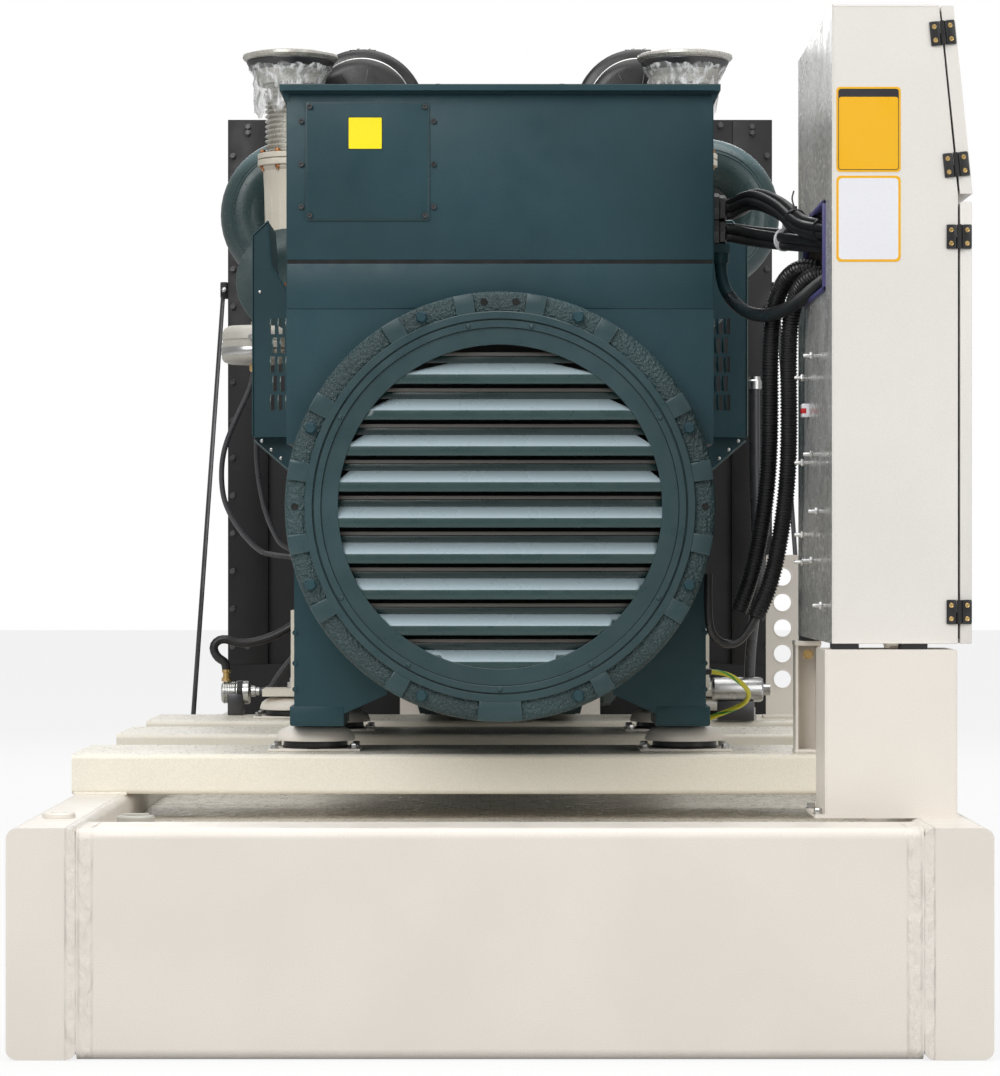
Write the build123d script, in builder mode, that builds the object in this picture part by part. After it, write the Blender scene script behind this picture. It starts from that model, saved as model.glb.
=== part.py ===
from build123d import *
from math import atan2, cos, degrees, pi, radians, sin, tan
import os

# An open diesel generating set on a steel skid. All sizes are in millimetres.
# X runs to the right and Y away from the alternator end towards the radiator.
# The origin is under the middle of the skid, on the ground.

# Skid base
base_length = 5600
base_width = 1968
base_height = 462
rail_width = 140
end_member_depth = 188
member_edge_radius = 22
tank_floor = 40
tank_drop = 60
filler_radius = 38
filler_height = 54
filler_from_front = 300
filler_from_side = 227

# Crossbeams on the rails
beam_depth = 400
beam_height = 92
beam_inset = 7
beam_edge_radius = 12
front_beam_y = -1611
middle_beam_y = -707
rear_beam_y = 19

# Alternator
shaft_z = 1115
frame_radius = 472
frame_front_y = -1941
frame_rear_y = -450
housing_width = 958
housing_bottom_z = 1257
housing_height = 408
shadow_gap = 4
box_height = 381
box_length = 1180
lid_overhang_side = 14
lid_overhang_front = 30
lid_height = 14
plate_width = 277
plate_height = 265
plate_x = -297
plate_z = 1890
plate_thickness = 6
gland_plate_length = 320
gland_plate_height = 150
gland_plate_margin = 50
gland_plate_thickness = 8

# End shield ring and its round louvred air intake
ring_radius = 480
ring_depth = 64
band_inner_radius = 435
register_rise = 4
groove_radius = 417
groove_width = 4
groove_depth = 6
ring_bore_radius = 399
pad_rise = 3
pad_margin = 6
pad_width = 46
wide_pad_width = 102
pad_angles = [10, 31, 60.5, 80, 100.5, 120.5, 150]
intake_clearance = 0.3
intake_rim_width = 38
intake_rim_depth = 22
intake_setback = 2
blade_pitch = 80
blade_count = 9
blade_rise = 36
blade_lip = 20
blade_reach = 34
blade_thickness = 3
rim_sides = 60

# Feet of the alternator
foot_outer_x = 480
foot_inner_x = 358
foot_thickness = 44
foot_front_y = -1772
foot_rear_y = -560
foot_length = 270
foot_web_thickness = 20

# Rubber mounts
mount_plate_length = 212
mount_plate_width = 150
mount_plate_thickness = 6
mount_ring_radius = 75
mount_ring_height = 20
mount_cap_radius = 91.5
mount_cap_height = 36
mount_cap_chamfer = 10
alternator_mount_x = 430
alternator_mount_inset = 26
engine_mount_x = 585

# Outlet hoods at the coupling end
hood_width = 171
hood_front_y = -650
hood_rear_y = -330
hood_outer_bottom_z = 1320
hood_inner_bottom_z = 1164
hood_shoulder_z = 1850
hood_top_z = 1887
hood_mitre = 41
hood_sheet = 3
hood_gusset_setback = 50
hood_notch_step = 8
hood_notch_depth = 118
hood_notch_fall = 190
slot_rows = 5
slot_columns = 3
slot_width = 13
slot_height = 41
slot_pitch_x = 20
slot_pitch_z = 50
slot_stagger = 6
slot_first_x = 78
slot_top_z = 1610

# Engine
flywheel_radius = 430
flywheel_depth = 200
block_length = 1900
skirt_half_width = 340
skirt_bottom_drop = 265
skirt_top_rise = 135
bank_angle = 30
bank_width = 300
deck_height = 560
valley_rise = 545
valley_half_width = 150
head_count = 6
head_pitch = 290
head_length = 262
head_width = 260
head_height = 120
cover_height = 80
cover_inset = 28
cover_corner = 24
pan_top_half_width = 300
pan_bottom_half_width = 220
pan_bottom_z = 575
gear_cover_depth = 100
gear_cover_half_width = 400
gear_cover_rise = 400
gear_cover_corner = 120
plenum_half_width = 120
plenum_height = 190
plenum_radius = 40
plenum_end_gap = 150
damper_radius = 200
damper_depth = 60
bracket_thickness = 20
bracket_foot_length = 160
bracket_height = 221
front_support_depth = 90
front_post_half_gap = 250
front_post_width = 80

# Exhaust
manifold_radius = 55
manifold_x = 520
manifold_z = 1560
port_radius = 34
exhaust_y = 285
left_exhaust_x = -607
right_exhaust_x = 535
turbo_radius = 150
turbo_length = 150
turbo_z = 1800
compressor_radius = 140
compressor_length = 160
riser_lower_radius = 70
riser_upper_radius = 78
exhaust_flange_radius = 95
exhaust_flange_thickness = 18
exhaust_joint_z = 2136
bellows_radius = 73
bellows_bevel = 9.8
bellows_sides = 12
bellows_count = 9
outlet_z = 2375
outlet_radius = 135
outlet_neck_radius = 95
outlet_height = 86
outlet_wall = 6

# Air side
cleaner_radius = 190
cleaner_length = 460
cleaner_x = 408
cleaner_front_y = 500
cleaner_z = 2326
cleaner_cap_radius = 150
cleaner_cap_length = 60
cleaner_post_width = 60
cleaner_sides = 32
charge_radius = 69
charge_bend = 160
charge_x = 606
charge_setback = 100
charge_low_z = 1868
charge_tail = 20
can_radius = 90
can_height = 109
can_x = -692
can_y = 0
can_z = 1548
can_edge = 18
can_bracket_gap = 4
can_bracket_thickness = 10
can_bracket_width = 90

# Cooling
radiator_rear_y = 2147
radiator_depth = 353
radiator_half_width = 937
radiator_top_z = 2515
radiator_post_width = 137
top_tank_height = 215
bottom_tank_height = 178
core_setback = 43
shroud_plate = 8
shroud_collar = 110
shroud_wall = 8
shroud_sides = 40
fan_radius = 680
fan_clearance = 20
fan_z = 1400
fan_hub_radius = 140
fan_hub_depth = 90
fan_shaft_radius = 60
blade_total = 8
fan_blade_width = 190
fan_blade_pitch = 32
fan_blade_thickness = 6
stay_radius = 7.5
stay_x = 956
stay_foot_y = 1000
stay_head_z = 1929
stay_block = 40
water_pipe_radius = 50
water_pipe_bend = 130
water_pipe_x = 230
water_pipe_top_z = 2405

# Control cabinet
cabinet_back_x = 691
cabinet_front_x = 953
cabinet_y = -2490
cabinet_length = 800
cabinet_bottom_z = 822
cabinet_top_z = 2152
cabinet_wall = 4
cabinet_flange = 18
door_gap = 5
door_thickness = 26
door_edge = 3
upper_door_bottom_z = 1759
upper_door_lean = 40
door_parting = 17
door_top_gap = 2
cable_opening_front_y = -2347
cable_opening_rear_y = -1890
cable_opening_bottom_z = 1573
cable_opening_top_z = 1756

# Door hinges
hinge_leaf = 26
hinge_height = 50
hinge_plate = 2
hinge_knuckle_radius = 5
hinge_offset = 6
hinge_pin_radius = 2
hinge_pin_clearance = 0.3
hinge_leaf_gap = 5.6
upper_hinge_z = [1819, 2093]
lower_hinge_z = [888, 1669]

# Stands of the cabinet
pedestal_left_x = 672
pedestal_right_x = 945
pedestal_plate_margin = 4
pedestal_plate_thickness = 8
pedestal_front_y = -2538
pedestal_depth = 200
cabinet_pad_height = 12
cabinet_pad_width = 55
support_left_x = 678
support_width = 57
support_rear_y = -1700
support_depth = 70
support_wall = 6

# Cables and hoses
power_cable_radius = 25
power_cable_y = -1790
conduit_radius = 20
conduit_y = -1830
sag_radius = 15.5
sag_start_x = 504
sag_start_z = 1698
fitting_wall = 5
fitting_height = 20
earth_radius = 6
hose_radius = 7.5
strap_x = 796
strap_width = 93
strap_thickness = 5
strap_y = 19
strap_top_z = 1012
strap_hole_radius = 24.5
strap_hole_pitch = 72
strap_hole_count = 5
strap_first_hole = 62
pump_radius = 33
pump_length = 85
pump_x = -798
pump_z = 618
pump_from_beam = 160

# Places that follow from the sizes above
charge_y = cleaner_front_y + charge_setback
half_length = base_length / 2
half_width = base_width / 2
rail_inner_x = half_width - rail_width
tank_top_z = base_height - tank_drop
beam_top_z = base_height + beam_height
beam_half_length = half_width - beam_inset
ring_front_y = frame_front_y - ring_depth
box_bottom_z = housing_bottom_z + housing_height
box_top_z = box_bottom_z + box_height
box_half_width = housing_width / 2
box_rear_y = frame_front_y + box_length
mount_height = mount_plate_thickness + mount_ring_height + mount_cap_height
foot_bottom_z = beam_top_z + mount_height
foot_top_z = foot_bottom_z + foot_thickness
flywheel_rear_y = frame_rear_y + flywheel_depth
block_front_y = flywheel_rear_y + block_length
valley_z = shaft_z + valley_rise
gear_cover_front_y = block_front_y + gear_cover_depth
first_head_y = flywheel_rear_y + (block_length - (head_count - 1) * head_pitch) / 2
post_inner_x = radiator_half_width - radiator_post_width
core_bottom_z = base_height + bottom_tank_height
core_top_z = radiator_top_z - top_tank_height
hinge_axis_x = cabinet_front_x + door_gap / 2
hinge_axis_y = cabinet_y - hinge_offset
upper_door_top_z = cabinet_top_z - door_top_gap
lower_door_top_z = upper_door_bottom_z - door_parting
door_inner_x = cabinet_front_x + door_gap
door_outer_x = door_inner_x + door_thickness
lean_angle = degrees(atan2(upper_door_lean, upper_door_top_z - upper_door_bottom_z))
lean_per_mm = upper_door_lean / (upper_door_top_z - upper_door_bottom_z)

os.makedirs("parts", exist_ok=True)


def save(piece, name):
    """labels a finished piece and writes it under its node's name"""
    piece.part.label = name
    export_step(piece.part, f"parts/{name}.step")


def facing(y):
    """an upright plane at depth y that faces the alternator end, X right and Z up"""
    return Plane.XZ.offset(-y)


def block(x0, x1, y0, y1, z0, z1, mode=Mode.ADD):
    """a plain block between two opposite corners"""
    with Locations(((x0 + x1) / 2, (y0 + y1) / 2, (z0 + z1) / 2)):
        Box(abs(x1 - x0), abs(y1 - y0), abs(z1 - z0), mode=mode)


def rod(start, end, radius, mode=Mode.ADD, sides=0):
    """a straight bar from one point to another, round or with the given number of flat sides"""
    run = Vector(*end) - Vector(*start)
    with BuildSketch(Plane(origin=start, z_dir=run)) as section:
        if sides:
            RegularPolygon(radius, sides)
        else:
            Circle(radius)
    extrude(section.sketch, amount=run.length, mode=mode)


def flare(place, low_radius, high_radius, height, sides=16, mode=Mode.ADD):
    """an upright pipe in flat facets that widens evenly towards its top"""
    with BuildPart(mode=Mode.PRIVATE) as cone:
        rod(place, (place[0], place[1], place[2] + height), high_radius, sides=sides)
        bottom = cone.faces().sort_by(Axis.Z)[0]
        inset = (high_radius - low_radius) * cos(pi / sides)
        chamfer(bottom.edges(), length=inset, length2=height - 1, reference=bottom)
    add(cone.part, mode=mode)


def corner_radii(points, share=0.45):
    """the radius of the arc at each inner point of a route, from its two runs and its turn"""
    corners = [Vector(*point) for point in points]
    radii = []
    for before, here, after in zip(corners, corners[1:], corners[2:]):
        turn = (here - before).get_angle(after - here)
        shorter = min((here - before).length, (after - here).length)
        radii.append(share * shorter / tan(radians(turn) / 2))
    return radii


def cord(points, radius, sides=6):
    """a limp cable along straight runs joined by tangent arcs, in flat facets round its section"""
    corners = [Vector(*point) for point in points]
    with BuildLine() as route:
        FilletPolyline(*corners, radius=corner_radii(points))
    with BuildSketch(Plane(origin=corners[0], z_dir=corners[1] - corners[0])) as section:
        RegularPolygon(radius, sides)
    sweep(section.sketch, path=route.wires()[0])


def rounded(points, bend, chords=4):
    """a route whose corners are cut round by short chords of an arc of the given radius"""
    corners = [Vector(*point) for point in points]
    path = [corners[0]]
    for before, here, after in zip(corners, corners[1:], corners[2:]):
        inwards, onwards = (before - here).normalized(), (after - here).normalized()
        half = inwards.get_angle(onwards) / 2
        centre = here + (inwards + onwards).normalized() * (bend / sin(radians(half)))
        start, end = here + inwards * (bend / tan(radians(half))), here + onwards * (bend / tan(radians(half)))
        for step in range(chords + 1):
            share = step / chords
            turn = radians(180 - 2 * half)
            weights = sin((1 - share) * turn) / sin(turn), sin(share * turn) / sin(turn)
            point = centre + (start - centre) * weights[0] + (end - centre) * weights[1]
            if (point - path[-1]).length > 1:
                path.append(point)
    return [tuple(point) for point in path + [corners[-1]]]


def tube(points, radius, sides=8):
    """a pipe along straight runs with mitred corners, in flat facets round its section"""
    with BuildLine() as route:
        Polyline(*points)
    with BuildSketch(Plane(origin=points[0], z_dir=Vector(*points[1]) - Vector(*points[0]))) as section:
        RegularPolygon(radius, sides)
    sweep(section.sketch, path=route.wires()[0], transition=Transition.RIGHT)


def bank_point(side, along, across):
    """a point beside a cylinder bank: along its axis from the shaft, and across it outwards"""
    lean = radians(bank_angle)
    x = along * sin(lean) + across * cos(lean)
    z = along * cos(lean) - across * sin(lean)
    return side * x, shaft_z + z


def bank_side_x(side, z):
    """the X of the outer side of the cylinder heads at a height"""
    lean = radians(bank_angle)
    along = (z - shaft_z + head_width / 2 * sin(lean)) / cos(lean)
    return bank_point(side, along, head_width / 2)[0]


def bank_plane(side, y, along):
    """the plane square to a bank's axis, X along the engine and Y outwards across the bank"""
    x, z = bank_point(side, along, 0)
    lean = radians(bank_angle)
    return Plane(origin=(x, y, z), x_dir=(0, 1, 0), z_dir=(side * sin(lean), 0, cos(lean)))


# Rails of the skid, closed box sections over its whole length
def base_rail(side):
    with BuildPart() as rail:
        with BuildSketch(facing(half_length)):
            with Locations((side * (half_width - rail_width / 2), base_height / 2)):
                RectangleRounded(rail_width, base_height, member_edge_radius)
        extrude(amount=base_length)
    return rail


base_rail_left = base_rail(-1)
save(base_rail_left, "base_rail_left")
base_rail_right = base_rail(1)
save(base_rail_right, "base_rail_right")


# End members between the rails, with their long edges rounded like the rails
def base_end(side):
    with BuildPart() as member:
        with BuildSketch(Plane.YZ.offset(-rail_inner_x)):
            with Locations((side * (half_length - end_member_depth / 2), base_height / 2)):
                RectangleRounded(end_member_depth, base_height, member_edge_radius)
        extrude(amount=2 * rail_inner_x)
    return member


base_end_front = base_end(-1)
save(base_end_front, "base_end_front")
base_end_rear = base_end(1)
save(base_end_rear, "base_end_rear")

# Fuel tank between the members, its deck sunk below their tops, with a filler beside the rail
with BuildPart() as fuel_tank:
    tank_half_length = half_length - end_member_depth
    block(-rail_inner_x, rail_inner_x, -tank_half_length, tank_half_length, tank_floor, tank_top_z)
    with BuildSketch(Plane.XY.offset(tank_top_z)):
        with Locations((-half_width + filler_from_side, -half_length + filler_from_front)):
            Circle(filler_radius - 8)
    extrude(amount=filler_height)
    with BuildSketch(Plane.XY.offset(tank_top_z + filler_height - 14)):
        with Locations((-half_width + filler_from_side, -half_length + filler_from_front)):
            Circle(filler_radius)
    extrude(amount=22)
save(fuel_tank, "fuel_tank")


# Crossbeams that carry the alternator and the rear of the engine
def crossbeam(middle_y):
    with BuildPart() as beam:
        with BuildSketch(Plane.YZ.offset(-beam_half_length)):
            with Locations((middle_y, base_height + beam_height / 2)):
                RectangleRounded(beam_depth, beam_height, beam_edge_radius)
        extrude(amount=2 * beam_half_length)
    return beam


crossbeam_front = crossbeam(front_beam_y)
save(crossbeam_front, "crossbeam_front")
crossbeam_middle = crossbeam(middle_beam_y)
save(crossbeam_middle, "crossbeam_middle")
crossbeam_rear = crossbeam(rear_beam_y)
save(crossbeam_rear, "crossbeam_rear")

# Alternator body: the round stator casing with the square housing built onto its top
with BuildPart() as alternator_frame:
    with BuildSketch(facing(frame_rear_y)):
        with Locations((0, shaft_z)):
            Circle(frame_radius)
        with Locations((0, housing_bottom_z + housing_height / 2)):
            Rectangle(housing_width, housing_height)
    extrude(amount=frame_rear_y - frame_front_y)
save(alternator_frame, "alternator_frame")

# Cast end shield ring: rough band with machined pads, smooth register, groove and inner ring
with BuildPart() as end_shield_ring:
    with BuildSketch(Plane.YZ):
        with BuildLine():
            Polyline(
                (frame_front_y, shaft_z + ring_bore_radius),
                (ring_front_y - register_rise, shaft_z + ring_bore_radius),
                (ring_front_y - register_rise, shaft_z + groove_radius - groove_width),
                (ring_front_y - register_rise + groove_depth, shaft_z + groove_radius - groove_width),
                (ring_front_y - register_rise + groove_depth, shaft_z + groove_radius),
                (ring_front_y - register_rise, shaft_z + groove_radius),
                (ring_front_y - register_rise, shaft_z + band_inner_radius),
                (ring_front_y, shaft_z + band_inner_radius),
                (ring_front_y, shaft_z + ring_radius),
                (frame_front_y, shaft_z + ring_radius),
                close=True,
            )
        make_face()
    revolve(axis=Axis((0, 0, shaft_z), (0, 1, 0)))
    band_outer = ring_radius - pad_margin
    pads = [(side * angle, pad_width) for angle in pad_angles for side in (-1, 1)]
    for angle, width in pads + [(180, wide_pad_width)]:
        with BuildSketch(facing(ring_front_y)):
            with Locations((0, shaft_z)):
                with PolarLocations(0, 1, start_angle=90 - angle):
                    with Locations(((band_inner_radius + band_outer) / 2, 0)):
                        Rectangle(band_outer - band_inner_radius - pad_margin, width)
        extrude(amount=pad_rise)
save(end_shield_ring, "end_shield_ring")

# Round air intake: a flat rim and drip blades, whose cut ends lie behind the rim
with BuildPart() as intake_louvre:
    intake_radius = ring_bore_radius - intake_clearance
    opening_radius = intake_radius - intake_rim_width
    rim_front_y = ring_front_y + intake_setback
    blade_front_y = rim_front_y + blade_thickness
    for number in range(blade_count):
        top_z = shaft_z + (number - (blade_count - 1) / 2) * blade_pitch + blade_pitch / 2
        fold_z = top_z - blade_rise
        with BuildSketch(Plane.YZ.offset(-intake_radius)):
            with BuildLine():
                Polyline(
                    (blade_front_y + blade_reach, top_z),
                    (blade_front_y, fold_z),
                    (blade_front_y, fold_z - blade_lip),
                    (blade_front_y + blade_thickness, fold_z - blade_lip),
                    (blade_front_y + blade_thickness, fold_z - blade_thickness / 2),
                    (blade_front_y + blade_reach, top_z - 1.5 * blade_thickness),
                    close=True,
                )
            make_face()
        extrude(amount=2 * intake_radius)
    with BuildSketch(facing(frame_front_y)) as outline:
        with Locations((0, shaft_z)):
            RegularPolygon(opening_radius + intake_rim_width / 2, rim_sides // 2)
    extrude(outline.sketch, amount=2 * ring_depth, mode=Mode.INTERSECT)
    with BuildSketch(facing(rim_front_y + intake_rim_depth)) as rim:
        with Locations((0, shaft_z)):
            RegularPolygon(intake_radius, rim_sides)
            RegularPolygon(opening_radius, rim_sides, mode=Mode.SUBTRACT)
    extrude(rim.sketch, amount=intake_rim_depth)
save(intake_louvre, "intake_louvre")


# Feet and webs that carry the round casing, one side each
def alternator_feet(side):
    with BuildPart() as feet:
        inner_x, outer_x = sorted((side * foot_inner_x, side * foot_outer_x))
        rear_foot_y = foot_rear_y - foot_length
        for start_y in (foot_front_y, rear_foot_y):
            block(inner_x, outer_x, start_y, start_y + foot_length, foot_bottom_z, foot_top_z)
        web_inner_x, web_outer_x = sorted((side * (frame_radius - foot_web_thickness), side * frame_radius))
        block(web_inner_x, web_outer_x, foot_front_y, foot_rear_y, foot_top_z, shaft_z)
        for web_y in (foot_front_y + foot_web_thickness, foot_rear_y):
            with BuildSketch(facing(web_y)):
                with BuildLine():
                    Polyline(
                        (side * frame_radius, foot_top_z),
                        (side * frame_radius, shaft_z),
                        (side * 0.55 * frame_radius, shaft_z),
                        (side * 0.55 * frame_radius, foot_top_z + 28),
                        (side * foot_inner_x, foot_top_z - 16),
                        (side * (foot_inner_x + 20), foot_top_z),
                        close=True,
                    )
                make_face()
            extrude(amount=foot_web_thickness)
        rod((0, frame_front_y, shaft_z), (0, frame_rear_y, shaft_z), frame_radius, mode=Mode.SUBTRACT)
    return feet


alternator_feet_left = alternator_feet(-1)
save(alternator_feet_left, "alternator_feet_left")
alternator_feet_right = alternator_feet(1)
save(alternator_feet_right, "alternator_feet_right")

# Rubber mounts: plate, ring and domed cap, four under the alternator and two under the engine
with BuildPart() as vibration_mounts:
    front_mount_y = front_beam_y - alternator_mount_inset
    spots = [(side * alternator_mount_x, y) for side in (-1, 1) for y in (front_mount_y, middle_beam_y)]
    spots += [(side * engine_mount_x, rear_beam_y) for side in (-1, 1)]
    with BuildSketch(Plane.XY.offset(beam_top_z)):
        with Locations(*spots):
            Rectangle(mount_plate_length, mount_plate_width)
    extrude(amount=mount_plate_thickness)
    ring_top_z = foot_bottom_z - mount_cap_height
    for x, y in spots:
        rod((x, y, ring_top_z - mount_ring_height), (x, y, ring_top_z), mount_ring_radius, sides=14)
        rod((x, y, ring_top_z), (x, y, foot_bottom_z), mount_cap_radius, sides=14)
    chamfer(vibration_mounts.faces().group_by(Axis.Z)[-1].edges(), length=mount_cap_chamfer)
save(vibration_mounts, "vibration_mounts")

# Terminal box on the housing, with a shadow gap under it and a gland plate on its right side
with BuildPart() as terminal_box:
    block(-box_half_width + shadow_gap, box_half_width - shadow_gap, frame_front_y + shadow_gap,
          box_rear_y - shadow_gap, box_bottom_z, box_bottom_z + shadow_gap)
    block(-box_half_width, box_half_width, frame_front_y, box_rear_y, box_bottom_z + shadow_gap, box_top_z)
    block(box_half_width, box_half_width + gland_plate_thickness,
          power_cable_y - gland_plate_margin, power_cable_y + gland_plate_length - gland_plate_margin,
          sag_start_z - gland_plate_margin / 2, sag_start_z + gland_plate_height)
save(terminal_box, "terminal_box")

with BuildPart() as terminal_box_lid:
    lid_half_width = box_half_width + lid_overhang_side
    block(-lid_half_width, lid_half_width, frame_front_y - lid_overhang_front,
          box_rear_y + lid_overhang_side, box_top_z, box_top_z + lid_height)
save(terminal_box_lid, "terminal_box_lid")

with BuildPart() as access_plate:
    with BuildSketch(facing(frame_front_y)):
        with Locations((plate_x, plate_z)):
            RectangleRounded(plate_width, plate_height, 5)
    extrude(amount=plate_thickness)
save(access_plate, "access_plate")


def hood_outline(side, top):
    """the outline of a hood from the alternator end, above its sloping underside"""
    outer_x = box_half_width + hood_width
    points = [(box_half_width, hood_inner_bottom_z), (outer_x, hood_outer_bottom_z), (outer_x, hood_shoulder_z)]
    return [(side * x, z) for x, z in points + top]


# Outlet hoods of folded sheet beside the housing, open at the rear, with vent slots in front
def side_hood(side, top):
    with BuildPart() as hood:
        with BuildSketch(facing(hood_rear_y)) as outside:
            with BuildLine():
                Polyline(*hood_outline(side, top), close=True)
            make_face()
        extrude(amount=hood_rear_y - hood_front_y)
        outer_x = side * (box_half_width + hood_width)
        block(side * box_half_width, outer_x, hood_front_y, hood_front_y + hood_gusset_setback,
              hood_inner_bottom_z, hood_outer_bottom_z, mode=Mode.SUBTRACT)
        with BuildSketch(facing(hood_rear_y)) as inside:
            add(outside.sketch)
            offset(amount=-hood_sheet)
        upper_depth = hood_rear_y - hood_front_y - hood_sheet
        with BuildSketch(facing(hood_rear_y)) as lower_inside:
            add(inside.sketch)
            with Locations((outer_x, hood_outer_bottom_z - hood_width)):
                Rectangle(2 * hood_width, 2 * hood_width, mode=Mode.INTERSECT)
        with BuildSketch(facing(hood_rear_y)) as upper_inside:
            add(inside.sketch)
            with Locations((outer_x, hood_outer_bottom_z - hood_width + hood_sheet)):
                Rectangle(4 * hood_width, 2 * hood_width, mode=Mode.SUBTRACT)
        extrude(upper_inside.sketch, amount=upper_depth, mode=Mode.SUBTRACT)
        extrude(lower_inside.sketch, amount=upper_depth - hood_gusset_setback, mode=Mode.SUBTRACT)
        with BuildSketch(facing(hood_front_y + hood_sheet)) as slots:
            for row in range(slot_rows):
                for column in range(slot_columns):
                    stagger = slot_stagger if row % 2 else 0
                    x = box_half_width + slot_first_x + column * slot_pitch_x - stagger
                    z = slot_top_z - row * slot_pitch_z
                    with Locations((side * x, z)):
                        Rectangle(slot_width, slot_height)
        extrude(slots.sketch, amount=hood_sheet, mode=Mode.SUBTRACT)
    return hood


hood_outer_x = box_half_width + hood_width
full_top = [(hood_outer_x - hood_mitre, hood_top_z), (box_half_width, hood_top_z)]
cut_top = [
    (hood_outer_x - hood_mitre, hood_top_z),
    (hood_outer_x - hood_mitre - hood_notch_step, hood_top_z - hood_notch_depth),
    (box_half_width, hood_top_z - hood_notch_depth - hood_notch_fall),
]
side_hood_left = side_hood(-1, cut_top)
save(side_hood_left, "side_hood_left")
side_hood_right = side_hood(1, full_top)
save(side_hood_right, "side_hood_right")

# Flywheel housing between the alternator and the engine
with BuildPart() as flywheel_housing:
    rod((0, frame_rear_y, shaft_z), (0, flywheel_rear_y, shaft_z), flywheel_radius, sides=32)
save(flywheel_housing, "flywheel_housing")

# Engine block: skirt, two cylinder banks and the valley between them
with BuildPart() as crankcase:
    with BuildSketch(facing(block_front_y)):
        skirt_bottom_z = shaft_z - skirt_bottom_drop
        with Locations((0, shaft_z + (skirt_top_rise - skirt_bottom_drop) / 2)):
            Rectangle(2 * skirt_half_width, skirt_top_rise + skirt_bottom_drop)
        for side in (-1, 1):
            x, z = bank_point(side, deck_height / 2, 0)
            with Locations((x, z)):
                Rectangle(bank_width, deck_height, rotation=-side * bank_angle)
        with Locations((0, shaft_z + valley_rise / 2)):
            Rectangle(2 * valley_half_width, valley_rise)
    extrude(amount=block_length)
save(crankcase, "crankcase")

with BuildPart() as oil_pan:
    with BuildSketch(facing(block_front_y - cover_inset)):
        with BuildLine():
            Polyline(
                (-pan_bottom_half_width, pan_bottom_z),
                (pan_bottom_half_width, pan_bottom_z),
                (pan_top_half_width, skirt_bottom_z),
                (-pan_top_half_width, skirt_bottom_z),
                close=True,
            )
        make_face()
    extrude(amount=block_length - 2 * cover_inset)
save(oil_pan, "oil_pan")

# Cylinder heads with their valve covers, six to a bank
with BuildPart() as cylinder_heads:
    for side in (-1, 1):
        for number in range(head_count):
            head_y = first_head_y + number * head_pitch
            with BuildSketch(bank_plane(side, head_y, deck_height)) as head:
                Rectangle(head_length, head_width)
            extrude(head.sketch, amount=head_height)
            with BuildSketch(bank_plane(side, head_y, deck_height + head_height)) as cover:
                Rectangle(head_length - cover_inset, head_width - cover_inset)
                chamfer(cover.vertices(), length=cover_corner)
            extrude(cover.sketch, amount=cover_height)
save(cylinder_heads, "cylinder_heads")

# Air plenum in the valley between the banks
with BuildPart() as intake_plenum:
    block(-plenum_half_width, plenum_half_width, flywheel_rear_y + plenum_end_gap,
          block_front_y - plenum_end_gap, valley_z, valley_z + plenum_height)
    fillet(intake_plenum.edges().filter_by(Axis.Y).group_by(Axis.Z)[-1], radius=plenum_radius)
save(intake_plenum, "intake_plenum")

# Gear cover at the free end, with the crankshaft damper in front of it
with BuildPart() as gear_cover:
    with BuildSketch(facing(gear_cover_front_y)):
        with BuildLine():
            Polyline(
                (-skirt_half_width, skirt_bottom_z),
                (skirt_half_width, skirt_bottom_z),
                (gear_cover_half_width, shaft_z),
                (gear_cover_half_width, shaft_z + gear_cover_rise - gear_cover_corner),
                (gear_cover_half_width - gear_cover_corner, shaft_z + gear_cover_rise),
                (-gear_cover_half_width + gear_cover_corner, shaft_z + gear_cover_rise),
                (-gear_cover_half_width, shaft_z + gear_cover_rise - gear_cover_corner),
                (-gear_cover_half_width, shaft_z),
                close=True,
            )
        make_face()
    extrude(amount=gear_cover_depth)
    rod((0, gear_cover_front_y, shaft_z), (0, gear_cover_front_y + damper_depth, shaft_z), damper_radius,
        sides=24)
save(gear_cover, "gear_cover")

# Brackets from the engine block down to the rear mounts
with BuildPart() as engine_mount_brackets:
    for side in (-1, 1):
        foot_y = (rear_beam_y - bracket_foot_length / 2, rear_beam_y + bracket_foot_length / 2)
        plate_inner_x = side * (engine_mount_x - bracket_thickness)
        block(side * (engine_mount_x - bracket_foot_length / 2), side * (engine_mount_x + bracket_foot_length / 2),
              *foot_y, foot_bottom_z, foot_bottom_z + bracket_thickness)
        block(plate_inner_x, side * engine_mount_x, *foot_y, foot_bottom_z, foot_bottom_z + bracket_height + bracket_thickness)
        block(side * skirt_half_width, plate_inner_x, *foot_y, skirt_bottom_z, foot_bottom_z + bracket_height + bracket_thickness)
save(engine_mount_brackets, "engine_mount_brackets")

# Support under the free end of the engine, a member between the rails with two posts
with BuildPart() as engine_front_support:
    support_y = gear_cover_front_y - gear_cover_depth / 2
    member_y = (support_y - end_member_depth / 2, support_y + end_member_depth / 2)
    block(-rail_inner_x, rail_inner_x, *member_y, tank_top_z, base_height)
    for side in (-1, 1):
        block(side * front_post_half_gap, side * (front_post_half_gap + front_post_width),
              support_y - front_support_depth / 2, support_y + front_support_depth / 2, base_height, skirt_bottom_z)
save(engine_front_support, "engine_front_support")

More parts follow.
